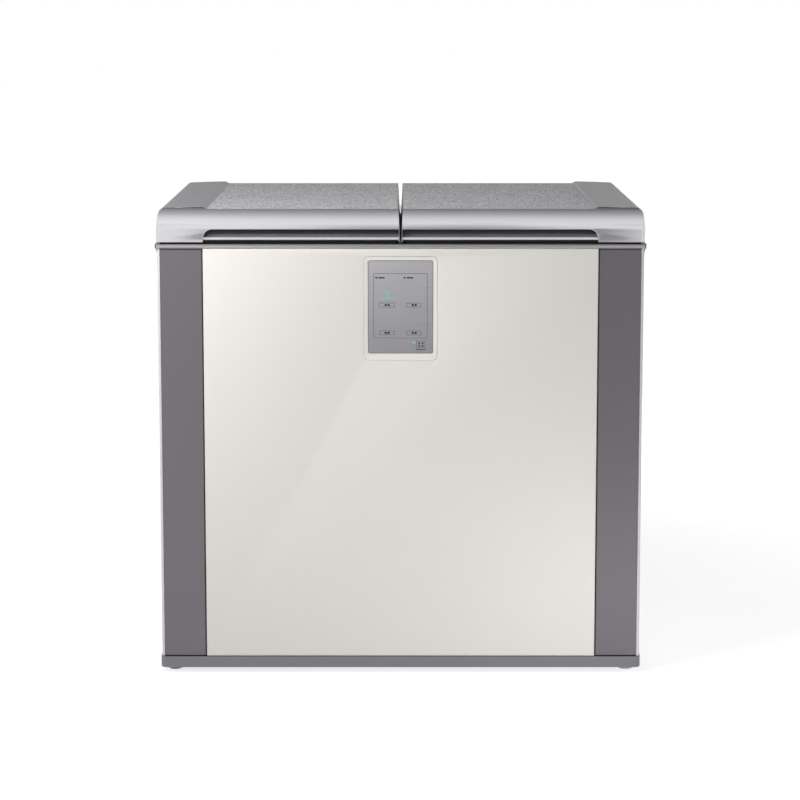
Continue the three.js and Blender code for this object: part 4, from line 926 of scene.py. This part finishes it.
def centre_fin(sign, low, high):
    """A thin black fin beside the gap between the lids, higher at the back, on a web from the gasket:
    painted shade for the gap.
    """
    near, thick, foot = 0.5 * mm, 0.7 * mm, low.z + 1.2 * mm
    start, end = low.y + 8 * mm, high.y
    outline = [(start, foot), (end, foot), (end, hinge_axis_z + 4 * mm), (start, skirt + 1 * mm)]
    fin = drawn("fin", [(sign * near, y, z) for y, z in outline], (sign * thick, 0, 0))
    xs = sorted((sign * (near + 0.2 * mm), sign * 9 * mm))
    web = block("web", (xs[0], start, foot), (xs[1], end, foot + 1.6 * mm))
    return join_or_cut(fin, web, "UNION")


tube_width, fold, out = 14 * mm, 1.6 * mm, 2 * mm
for side, sign in (("right", 1), ("left", -1)):
    low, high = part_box("lid_gasket_" + side)
    gasket = ring("gasket_" + side, low, high, tube_width, 5 * mm)
    middle = (low.z + high.z) / 2
    slot_low = Vector((low.x - out, low.y - out, middle - fold / 2))
    slot_high = Vector((high.x + out, high.y + out, middle + fold / 2))
    join_or_cut(gasket, ring("fold", slot_low, slot_high, out + 4 * mm, 6 * mm))
    join_or_cut(gasket, centre_fin(sign, low, high), "UNION")
    softened(gasket)
    settle(gasket, side + "_lid", "gasket_rubber", gasket_black, "lid_gasket_" + side)

# %% [markdown]
# ## The front of the cabinet
# The wide front panel is a shallow pan of coated steel, with a darker strip beside it at each end.
# A steel pan is bent, so its outer edges are rolls of about the sheet's own thickness, and each roll
# shows as a thin bright line. It is modelled as a block with rolled front edges, hollowed from
# behind, with the opening for the controls cut through and that opening's edge rolled inwards.

# %% Finishes: coated steel
cream_coating = finish("cream_coating", (229, 226, 220), 0.34, 1.4, 0.003, 0.12, 0.012, 0.6, 0.02)
mauve_coating = finish("mauve_coating", (113, 108, 113), 0.4, 0.4, 0.006, 0.3, 0.03, 0.5, 0.02, Metallic=0.3)
print("coatings", cream_coating.name, mauve_coating.name)

# %% Front panel
def on_plane(edge, axis, value):
    """Whether both ends of an edge lie on a plane across an axis."""
    return all(abs(point[axis] - value) < 0.02 * mm for point in ends(edge))


def opening(name, low, high, radius, steps=6):
    """A cutter for an upright opening with round corners."""
    return round_block(name, low, high, radius, steps, deep)


panel_low, panel_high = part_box("front_panel")
panel_sheet, panel_roll = 1.2 * mm, 1.9 * mm
bezel_low, bezel_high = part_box("control_bezel")
fit = 0.3 * mm
bezel_radius = 10 * mm
front_pan = block("front_panel_pan", panel_low, panel_high)
round_edges(front_pan, panel_roll, 5, lambda e: on_plane(e, 1, panel_low.y))
wall = Vector((panel_sheet, panel_sheet, panel_sheet))
hollow_high = panel_high - wall
hollow_high.y = panel_high.y + 1 * mm
join_or_cut(front_pan, block("pan_room", panel_low + wall, hollow_high))
room_low = Vector((bezel_low.x - fit, panel_low.y - 1 * mm, bezel_low.z - fit))
room_high = Vector((bezel_high.x + fit, panel_high.y + 1 * mm, bezel_high.z + fit))
join_or_cut(front_pan, opening("bezel_opening", room_low, room_high, bezel_radius + fit))


def round_opening(edge):
    """Whether an edge is part of the opening's outline on the panel's face."""
    within = all(room_low.x - fit < point.x < room_high.x + fit for point in ends(edge))
    return within and on_plane(edge, 1, panel_low.y)


round_edges(front_pan, 0.8 * mm, 3, round_opening)
softened(front_pan, 0.25 * mm, 1)
settle(front_pan, "cabinet", "cream_panel", cream_coating, "front_panel")

# %% [markdown]
# Each strip is a flat bar with its inner edge cut at a slant towards the panel. It sits on a thin
# black strip, painted shade that shows as a dark shadow line at its ends and beside the panel.

# %% Front strips
strip_low, strip_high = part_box("front_strip_right")
shade_seal_thick, strip_slant = 0.6 * mm, 0.9 * mm
strip_top, strip_foot, strip_beside = 1.9 * mm, 1.0 * mm, 1.8 * mm
bar_low = Vector((strip_low.x + strip_beside, strip_low.y, strip_low.z + strip_foot))
bar_high = Vector((strip_high.x, strip_high.y - shade_seal_thick, strip_high.z - strip_top))
strip = block("strip", bar_low, bar_high)
pick(strip, "EDGE", lambda e: on_plane(e, 0, bar_low.x) and on_plane(e, 1, bar_low.y))
bpy.ops.mesh.bevel(offset=strip_slant, segments=1, affect="EDGES")
softened(strip, 0.35 * mm)
# The black strip under the bar is painted shade for the shadow lines round the bar.
shade_seal_low = Vector((strip_low.x, strip_high.y - shade_seal_thick, strip_low.z))
strip_seal = block("strip_seal", shade_seal_low, strip_high)
round_edges(strip_seal, 0.2 * mm, 2, lambda e: on_plane(e, 1, shade_seal_low.y))
for side in ("right", "left"):
    bar = on_side(strip, "front_strip_bar_", side)
    settle(bar, "cabinet", "mauve_strip", mauve_coating, "front_strip_" + side)
    settle(on_side(strip_seal, "front_strip_seal_", side), "cabinet", "gasket_rubber", gasket_black)
discard(strip, strip_seal)

# %% [markdown]
# ## Rim, sides and base
# These mouldings and bent sheets have the right outlines already, but their edges are sharp, and a
# sharp edge never catches the light. Modelling them again would repeat the same cuts. It is enough to
# take a copy of the node, merge its loose triangles into whole faces, clear the stored normals and
# round every edge by the radius that its material has: more for plastic, less for thin steel.

# %% A node's copy with rounded edges
def refined(node, name, width, steps=2, angle=32):
    """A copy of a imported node, with its triangles merged into faces and its edges rounded."""
    piece = copied(frame["nodes"][node], name)
    piece.parent = None
    for key in list(piece.keys()):
        del piece[key]
    work_on(piece)
    bpy.ops.mesh.customdata_custom_splitnormals_clear()
    pick(piece, "VERT")
    bpy.ops.mesh.remove_doubles(threshold=0.01 * mm)
    bpy.ops.mesh.select_all(action="SELECT")
    bpy.ops.mesh.dissolve_limited(angle_limit=math.radians(0.5))
    return softened(piece, width, steps, angle)


def refine(node, body, slot, look, width, steps=2, angle=32):
    """Puts a refined copy in a node's place."""
    return settle(refined(node, node + "_piece", width, steps, angle), body, slot, look, node)


def is_end_cap(face):
    """Whether a face of the rim lies at one end of its front, where black stands for painted shade."""
    middle = face.calc_center_median()
    return abs(middle.x) > shaded_rim_end and middle.y < panel_high.y


rim = refine("top_frame", "cabinet", "silver_plastic", rim_silver_shaded, 0.5 * mm)
# The rim's rounded ends are given black plastic: painted shade for the shadow on them.
rim.data.materials.append(black_plastic)
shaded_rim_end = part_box("top_frame")[1].x - 3 * mm
shaded_end_faces = pick(rim, "FACE", is_end_cap)
rim.active_material_index = 1
bpy.ops.object.material_slot_assign()
work_on(rim)
print("rim: dark end caps of", shaded_end_faces, "faces")
refine("base_tray", "cabinet", "base_plastic", base_grey, 0.7 * mm)
for side in ("left", "right"):
    refine("side_panel_" + side, "cabinet", "side_steel", side_grey, 0.3 * mm)

# %% [markdown]
# ## The controls
# The controls sit behind a frame of cream plastic whose face falls inwards to the window, like a
# picture frame. It starts as a block with round corners. Its front face is inset twice, and the
# second inset is pushed back, which gives the dish with its corners already mitred; a bevel could
# not, because it would cut as deep as it is wide. The hole for the window is cut last, with a smaller
# one through the back, so that the window has a ledge to lie on.

# %% Control frame
window_low, window_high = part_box("control_window")
bezel = opening("control_frame", bezel_low, bezel_high, bezel_radius, 8)
window_radius = 4 * mm
lip_width, dish_width, dish_depth = 1.1 * mm, 5.6 * mm, 1.9 * mm
pick(bezel, "FACE", lambda f: f.normal.y < -0.99)
bpy.ops.mesh.inset(thickness=lip_width)
bpy.ops.mesh.inset(thickness=dish_width)
bpy.ops.transform.translate(value=(0, dish_depth, 0))
hole_low = Vector((window_low.x - fit, bezel_low.y - 1 * mm, window_low.z - fit))
hole_high = Vector((window_high.x + fit, window_high.y + 0.3 * mm, window_high.z + fit))
join_or_cut(bezel, opening("window_hole", hole_low, hole_high, window_radius + fit))
ledge_width = 5 * mm
ledge_low = Vector((window_low.x + ledge_width, window_low.y, window_low.z + ledge_width))
ledge_high = Vector((window_high.x - ledge_width, bezel_high.y + 1 * mm, window_high.z - ledge_width))
join_or_cut(bezel, opening("ledge_hole", ledge_low, ledge_high, 2 * mm))
softened(bezel, 0.3 * mm, 2, 20)
settle(bezel, "cabinet", "cream_bezel", bezel_cream, "control_bezel")

# %% [markdown]
# The window's brushing runs across it. The real marks are printed under the film and lie flush; here
# thin plates, a tenth of a millimetre proud, stand for the ink. Real panels carry words too; plain
# bars, key outlines and lamps of the same size and place keep the layout without naming anything.

# %% Finishes: window, ink and lamps
def window_film():
    """Brushed silver film that grows darker towards its foot."""
    look = open_finish("window_film")
    lines = place_group(brushing, {"Pitch": 1.5 * mm, "Length": 70 * mm, "Spread": 0.6})
    blotch = place_group(mottle, {"Size": 0.05, "Amount": 0.06})["Gain"]
    rise = add("SeparateXYZ", [add("TexCoord").outputs["Object"]]).outputs["Z"]
    fade = add("MapRange", [rise, window_low.z, window_high.z, 0.68, 1.02]).outputs[0]
    tone = toned(screen(211, 209, 212)[:3], fade, blotch, wavering(lines["Gain"], 1.0, 0.35))
    rough = maths("MULTIPLY", lines["Gain"], 0.32, clamp=True)
    surface(tone, rough, lines["Height"], 0.004 * mm, Metallic=0.5, Coat_Weight=0.3)
    return look


window_silver = window_film()
ink = finish("printed_ink", (46, 45, 50), 0.5, 0.3, 0.002, 0.2, 0.1)
key_line = finish("key_line_ink", (112, 110, 113), 0.5, 0.3, 0.002, 0.2, 0.05)


def lamp_look(name, colour, strength):
    """A small lit lamp: its own colour, slightly mottled, and a faint glow of the same."""
    look = open_finish(name)
    waver = place_group(grain, {"Size": 1.2 * mm, "Spread": 0.5})["Gain"]
    tone = toned(screen(*colour)[:3], waver)
    shader = surface(tone, 0.4)
    plug(shader, "Emission Color", tone)
    shader.inputs["Emission Strength"].default_value = strength
    return look


cyan_lamp = lamp_look("cyan_lamp", (134, 180, 178), 0.05)
blue_lamp = lamp_look("blue_lamp", (134, 168, 184), 0.05)
print("inks and lamps", ink.name, key_line.name, cyan_lamp.name, blue_lamp.name)

# %% Window plate
window = opening("touch_window_plate", window_low, window_high, window_radius)
softened(window, 0.3 * mm)
settle(window, "cabinet", "touch_window", window_silver, "control_window")
# A thin grey line round the window's edge is painted shadow, for the shade that the frame casts there.
shade_line_wide, shade_line_thick = 0.8 * mm, 0.1 * mm
shade_line_high = Vector((window_high.x, window_low.y + 0.05 * mm, window_high.z))
edge = opening("window_edge_line", window_low - Vector((0, shade_line_thick, 0)), shade_line_high, window_radius)
margin = Vector((shade_line_wide, 0, shade_line_wide))
beyond = Vector((0, 1 * mm, 0))
inner_low, inner_high = window_low + margin - beyond, shade_line_high - margin + beyond
join_or_cut(edge, opening("edge_room", inner_low, inner_high, window_radius - shade_line_wide))
settle(edge, "cabinet", "touch_window", key_line)

# %% [markdown]
# The marks are placed by where they lie on the front, in the photograph's own pixels, turned into
# millimetres by the scale of the front plane: that is the surest way to put many small things where
# they belong. Each is a thin plate, and a key's outline is a small frame of the same ink.

# %% Marks on the window
front_scale = 0.5227  # photograph pixels to a millimetre, on the cabinet's front
middle_px, skirt_px = 400.5, 241.3
mark_thick = 0.12 * mm


def on_front(x_px, y_px):
    """A place on the front, from its pixel."""
    x = (x_px - middle_px) / front_scale * mm
    z = skirt - (y_px - skirt_px) / front_scale * mm
    return x, z


def plate(name, x0, y0, x1, y1, round_by=0.3 * mm):
    """A thin printed plate between two pixels."""
    (left, top), (right, bottom) = on_front(x0, y0), on_front(x1, y1)
    y = window_low.y
    low, high = (left, y - mark_thick, bottom), (right, y + 0.05 * mm, top)
    return round_block(name, low, high, round_by, 2, deep)


def outline(name, x0, y0, x1, y1, line_px=0.45):
    """A printed rectangle, as a line."""
    frame_mark = plate(name, x0, y0, x1, y1, 0.6 * mm)
    inner = plate("line_room", x0 + line_px, y0 + line_px, x1 - line_px, y1 - line_px, 0.4 * mm)
    pick(inner, "FACE")
    bpy.ops.transform.resize(value=(1, 30, 1), center_override=(0, window_low.y, 0))
    return join_or_cut(frame_mark, work_on(inner))


def gathered(name, *parts):
    """Joins several pieces into one."""
    work_on(parts[0])
    for part in parts[1:]:
        part.select_set(True)
    bpy.ops.object.join()
    parts[0].name = name
    return parts[0]


key_rows, key_tall = (301.5, 329.1), 4.5
lines = [outline("field_line", 373.7, 272.3, 427.0, 336.7)]
for row in key_rows:
    for left, right in ((379.4, 394.6), (406.1, 421.0)):
        lines.append(outline("key_line", left, row, right, row + key_tall))
lines.append(outline("key_line", 416.1, 339.4, 424.7, 346.3))
settle(gathered("window_key_lines", *lines), "cabinet", "touch_window", key_line)

words = [plate("dot", x, 275.8, x + 1.8, 277.6) for x in (375.6, 403.5)]
words += [plate("label", x, 276.0, x + 6.5, 277.4) for x in (378.4, 406.4)]
for row in key_rows:
    for x in (384.7, 387.6, 411.4, 414.3):
        words.append(plate("glyph", x, row + 1.2, x + 2.2, row + 3.3))
for x in (417.9, 421.2):
    for y in (341.0, 343.7):
        words.append(plate("glyph", x, y, x + 2.0, y + 1.3))
words.append(plate("foot_line", 415.6, 347.6, 425.2, 348.3))
settle(gathered("window_marks", *words), "cabinet", "touch_window", ink)

cyan = [plate("bar", 379.7, 296.4, 394.6, 298.4), plate("dot", 411.9, 339.8, 415.2, 342.5)]
cyan += [plate("stack", 385.9, y, 390.1, y + 1.3) for y in (287.6, 289.9, 292.2, 294.3)]
settle(gathered("window_cyan_lamps", *cyan), "cabinet", "touch_window", cyan_lamp)
settle(plate("window_blue_lamp", 409.2, 324.1, 413.2, 326.4), "cabinet", "touch_window", blue_lamp)

# %% [markdown]
# ## Feet and rollers
# A levelling foot is a nylon disc on a steel thread. It is turned on a lathe's profile: the outline
# of one half is drawn on a plane through the axis, and the spin operator sweeps it all round. Slots
# are cut into its flared collar, so that fingers can turn it.

# %% Turned pieces
def turned(name, middle, profile, way=upright, steps=48):
    """A solid spun round an axis. The profile is a list of radius and height along the axis."""
    middle = Vector(middle)
    out = across if abs(way.x) < 0.5 else deep
    points = [middle + out * radius + way * along for radius, along in profile]
    piece = drawn(name, points, closed=False)
    pick(piece, "EDGE")
    bpy.ops.mesh.spin(steps=steps, angle=math.tau, center=middle, axis=way)
    bpy.ops.mesh.select_all(action="SELECT")
    bpy.ops.mesh.remove_doubles(threshold=0.005 * mm)
    bpy.ops.mesh.normals_make_consistent(inside=False)
    return work_on(piece)


# %% Levelling feet
foot_low, foot_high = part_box("levelling_foot_right")
foot_middle = ((foot_low.x + foot_high.x) / 2, (foot_low.y + foot_high.y) / 2, 0)
collar, sole, stem = 19 * mm, 13 * mm, 4 * mm
foot_profile = [(0, 0), (sole - 1.5 * mm, 0)]
for i in range(1, 7):
    turn = math.radians(90 * i / 6)
    foot_profile.append((sole - 1.5 * mm * (1 - math.sin(turn)), 1.5 * mm * (1 - math.cos(turn))))
foot_profile += [(sole + 0.4 * mm, 3.2 * mm), (sole + 2 * mm, 4.6 * mm), (collar - 0.9 * mm, 5.6 * mm)]
foot_profile += [(collar, 6.6 * mm), (collar, 8.6 * mm), (collar - 0.9 * mm, 9.5 * mm), (stem, 9.7 * mm)]
thread_low, thread_high, thread_pitch = 10.2 * mm, foot_high.z - 1 * mm, 1.5 * mm
turns = int((thread_high - thread_low) / thread_pitch)
for i in range(turns):
    z = thread_low + i * thread_pitch
    foot_profile += [(stem, z), (stem - 0.6 * mm, z + thread_pitch / 2)]
foot_top = foot_high.z
foot_profile += [(stem - 0.4 * mm, foot_top - 0.4 * mm), (stem - 0.8 * mm, foot_top), (0, foot_top)]
foot = turned("foot", foot_middle, foot_profile)
slots, half, slot_foot, slot_top = 12, 1.6 * mm, 5 * mm, 11 * mm
for i in range(slots):
    turn = math.tau * i / slots
    x = foot_middle[0] + collar * math.cos(turn)
    y = foot_middle[1] + collar * math.sin(turn)
    notch = block("slot", (x - half, y - half, slot_foot), (x + half, y + half, slot_top))
    pick(notch, "FACE")
    bpy.ops.transform.rotate(value=-turn, orient_axis="Z", center_override=(x, y, 0))
    join_or_cut(foot, work_on(notch))
softened(foot, 0.25 * mm, 2, 40)
for side in ("right", "left"):
    disc = on_side(foot, "foot_disc_", side)
    settle(disc, side + "_foot", "foot_plastic", foot_grey, "levelling_foot_" + side)
discard(foot)

# %% [markdown]
# The rear rollers are small hard wheels on a pin. Each has a rounded tread and sides that are dished
# round a hub, all of it in one profile.

# %% Rollers
for side in ("right", "left"):
    low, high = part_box("rear_roller_" + side)
    centre = (low + high) / 2
    reach, half_width = (high.z - low.z) / 2, (high.x - low.x) / 2
    hub, tread_round, dip = reach * 0.34, 1.6 * mm, 2.2 * mm
    dished, tread = half_width - dip, half_width - tread_round
    flank = [(0, half_width), (hub, half_width), (hub + 1 * mm, dished), (reach - 4 * mm, dished)]
    flank += [(reach - 3 * mm, half_width), (reach - tread_round, half_width), (reach, tread)]
    profile = [(r, -a) for r, a in flank] + [(r, a) for r, a in reversed(flank)]
    wheel = turned("roller_wheel_" + side, centre, profile, across, 56)
    softened(wheel, 0.3 * mm, 2, 40)
    settle(wheel, side + "_roller", "black_plastic", black_plastic, "rear_roller_" + side)

# %% [markdown]
# ## The back
# The back is a zinc-coated sheet with pressed panels, which keep it from drumming, over a cover with
# louvres for the compressor's warm air. Each pressed panel is a low block with round corners, whose
# outer face is drawn in all round to make its slope, and which is then joined to the sheet. Screws
# with cross slots hold both sheets.

# %% Rear sheet
rear_low, rear_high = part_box("rear_panel")
press_out, border, slope, gap_between, pad_round = 1.6 * mm, 34 * mm, 4 * mm, 30 * mm, 14 * mm


def pressed_sheet(name, low, high, columns, rows):
    """A sheet whose outer face carries a grid of pressed panels."""
    sheet = block(name, low, high)
    wide, tall = high.x - low.x, high.z - low.z
    step_x, step_z = (wide - 2 * border + gap_between) / columns, (tall - 2 * border + gap_between) / rows
    for i in range(columns):
        for j in range(rows):
            x, z = low.x + border + i * step_x, low.z + border + j * step_z
            pad_low = Vector((x, high.y - 0.5 * mm, z))
            pad_high = Vector((x + step_x - gap_between, high.y + press_out, z + step_z - gap_between))
            pad = round_block("pad", pad_low, pad_high, pad_round, 5, deep)
            pick(pad, "FACE", lambda f: f.normal.y > 0.99)
            shrink_x, shrink_z = [1 - 2 * slope / size for size in (pad_high - pad_low).xz]
            middle = (pad_low + pad_high) / 2
            bpy.ops.transform.resize(value=(shrink_x, 1, shrink_z), center_override=middle)
            join_or_cut(sheet, work_on(pad), "UNION")
    return softened(sheet, 0.5 * mm, 2, 15)


rear_sheet = pressed_sheet("rear_sheet", rear_low, rear_high, 2, 2)
settle(rear_sheet, "cabinet", "rear_steel", rear_grey, "rear_panel")

# %% Louvred cover and cord gland
refine("machine_cover", "cabinet", "rear_steel", rear_grey, 0.3 * mm)
refine("power_cord_gland", "cabinet", "black_plastic", black_plastic, 0.4 * mm)
cover_box_low, cover_box_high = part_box("machine_cover")
sheet_y = rear_high.y
louvre_x, louvre_half, louvre_first, louvre_step, louvre_count = 211 * mm, 65 * mm, 52 * mm, 17 * mm, 7
hood_out, hood_tall, hood_lift = 4 * mm, 6 * mm, 5 * mm
hoods = []
for middle in (-louvre_x, louvre_x):
    for i in range(louvre_count):
        x, z = middle - louvre_half, cover_box_low.z + louvre_first + i * louvre_step + hood_lift
        inside, outside = sheet_y - 0.4 * mm, sheet_y + hood_out
        profile = [(x, inside, z + hood_tall), (x, sheet_y + 0.6 * mm, z + hood_tall)]
        profile += curve(4, profile[-1], (x, outside, z + 3 * mm), (x, outside, z - 2.4 * mm))
        profile.append((x, outside - 0.8 * mm, z - 2.4 * mm))
        profile += [(x, outside - 1.0 * mm, z - 0.4 * mm), (x, inside, z + 0.3 * mm)]
        hoods.append(drawn("hood", profile, (2 * louvre_half, 0, 0)))
hood_group = softened(gathered("louvre_hoods", *hoods), 0.25 * mm, 1)
settle(hood_group, "cabinet", "rear_steel", rear_grey)

# %% [markdown]
# One screw is modelled: a low round head with a cross recess. Then it is copied to each place.

# %% Screws
screw_head, screw_rim, screw_dome = 4.2 * mm, 0.5 * mm, 1.9 * mm
cross_half, cross_wide = 2.3 * mm, 0.5 * mm
screw_profile = [(0, 0), (screw_head, 0), (screw_head, screw_rim)]
for r in (0.94, 0.8, 0.55, 0.25):
    screw_profile.append((r * screw_head, screw_rim + screw_dome * math.sqrt(1 - r * r)))
screw_profile.append((0, screw_rim + screw_dome))
screw = turned("screw", (0, 0, 0), screw_profile, deep, 24)
top = screw_dome + 1 * mm
for half_x, half_z in ((cross_half, cross_wide), (cross_wide, cross_half)):
    join_or_cut(screw, block("cross", (-half_x, 1.2 * mm, -half_z), (half_x, top, half_z)))
softened(screw, 0.12 * mm, 1, 40)
screw_inset = 14 * mm
screw_span = rear_high.x - rear_low.x - 2 * screw_inset
upper_rows = (rear_low.z + screw_inset, rear_high.z - screw_inset, cover_box_high.z - screw_inset)
screw_rows = [(z, 5) for z in upper_rows] + [(cover_box_low.z + screw_inset, 4)]
screws = []
for z, count in screw_rows:
    for i in range(count):
        x = rear_low.x + screw_inset + i * screw_span / (count - 1)
        screws.append(moved(copied(screw, "back_screw"), (x, sheet_y, z)))
discard(screw)
settle(gathered("back_screws", *screws), "cabinet", "hinge_steel", hinge_grey)

# %% [markdown]
# ## Inside: liners, tubs and the lids' undersides
# With a lid open one looks into a deep-drawn aluminium liner, at two kimchi tubs with clip lids, and
# up at the lid's white inner pan. These have their form from the frame, so they get the refined
# copies' rounded edges: broad ones on moulded tubs and pans, fine ones on the thin liner.

# %% Liners, lid pans and tubs
for side in ("left", "right"):
    refine("liner_" + side, "cabinet", "liner_aluminium", liner_grey, 0.3 * mm)
    refine("lid_liner_" + side, side + "_lid", "white_plastic", white_plastic, 0.8 * mm, 3)
for place in ("front", "rear"):
    refine("kimchi_tub_" + place, place + "_tub", "tub_plastic", tub_cream, 0.7 * mm, 3)
    refine("kimchi_tub_lid_" + place, place + "_tub_lid", "tub_lid_plastic", tub_lid_green, 0.8 * mm, 3)

# %% [markdown]
# A tub's lid is held by clips, thin flaps that hang over the tub's rim and snap under it. One is
# modelled: its outer face is inset and pushed in for the thumb, and inset again and pulled out for
# the bar that the thumb pushes. It is then turned and set on the middle of each of the four sides.

# %% Tub lid clips
clip_wide, clip_tall, clip_thick = 64 * mm, 21 * mm, 1.6 * mm
clip = block("clip", (-clip_wide / 2, -clip_thick, -clip_tall), (clip_wide / 2, 0, 0))
pick(clip, "FACE", lambda f: f.normal.y < -0.99)
for inset, push in ((2.5 * mm, 0.6 * mm), (5 * mm, -0.5 * mm)):
    bpy.ops.mesh.inset(thickness=inset)
    bpy.ops.transform.translate(value=(0, push, 0))
softened(clip)
for place in ("front", "rear"):
    low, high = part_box("kimchi_tub_lid_" + place)
    middle = (low + high) / 2
    reach = (high - low) / 2
    clips = []
    for i in range(4):
        one = work_on(copied(clip, "clip"))
        turn = math.pi / 2 * i
        out = reach.y if i % 2 == 0 else reach.x
        one.rotation_euler.z = turn
        one.location = (middle.x + out * math.sin(turn), middle.y - out * math.cos(turn), high.z - 2 * mm)
        bpy.ops.object.transform_apply(location=True, rotation=True, scale=True)
        clips.append(one)
    settle(gathered("tub_lid_clips_" + place, *clips), place + "_tub_lid", "tub_lid_plastic", tub_lid_green)
    print("tub lid", place, [round(v, 4) for v in (*low, *high)])
discard(clip)

# %% Hinges
for side in ("left", "right"):
    for where in ("inner_", "outer_"):
        refine("hinge_leaf_" + where + side, side + "_lid", "hinge_steel", hinge_grey, 0.3 * mm)
        refine("hinge_bracket_" + where + side, "cabinet", "hinge_steel", hinge_grey, 0.3 * mm)

# %% [markdown]
# ## The machine room and what is sealed inside
# The compressor, the condenser, the fan and the pipes show only through the open front of the base
# or with a panel off. Those that a service engineer looks at get the refined copies too; what is
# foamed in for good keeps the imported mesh, and only gets its finish.

# %% Finish: circuit board
def board_finish():
    """Green solder mask with darker tracks."""
    look = open_finish("circuit_board_mask")
    here = add("TexCoord").outputs["Object"]
    cells = add("TexVoronoi", {"Vector": here, "Scale": 160.0}, distance="CHEBYCHEV").outputs["Distance"]
    tracks = ramp_over(cells, (0.28, white), (0.33, grey(0)))
    mask, track = screen(34, 92, 58), screen(58, 128, 84)
    base = add("Mix", {0: tracks, 6: mask, 7: track}, data_type="RGBA").outputs[2]
    surface(base, 0.35, tracks, 0.03 * mm)
    return look


circuit_green = board_finish()
print("finish", circuit_green.name)

# %% Machinery with rounded edges
machinery = {
    "compressor": ("compressor_black", compressor_black, 0.8 * mm),
    "fan_bracket": ("black_plastic", black_plastic, 0.4 * mm),
    "fan_motor": ("motor_steel", motor_grey, 0.5 * mm),
    "control_box": ("white_plastic", white_plastic, 0.6 * mm),
    "filter_drier": ("tube_copper", copper, 0.4 * mm),
}
for node, (slot, look, width) in machinery.items():
    refine(node, "cabinet", slot, look, width)
refine("fan_rotor", "condenser_fan", "black_plastic", black_plastic, 0.25 * mm)
for i in range(1, 5):
    refine("compressor_grommet_" + str(i), "cabinet", "mount_rubber", mount_rubber, 0.5 * mm)

# %% Nodes that keep their mesh
def recoat(look, *names):
    """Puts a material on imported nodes."""
    for name in names:
        node = frame["nodes"][name]
        node.data.materials.clear()
        node.data.materials.append(look)


recoat(foam_yellow, "insulation_foam", "lid_foam_left", "lid_foam_right")
recoat(coil_grey, "evaporator_left", "evaporator_right", "condenser")
recoat(copper, "discharge_tube", "suction_tube", "capillary_tube")
recoat(circuit_green, "control_board")
shown = [node for node in frame["nodes"].values() if not node.hide_render]
plain = [node.name for node in shown if node.data.materials[0].name in frame["nodes"]]
print("nodes still plain:", plain)
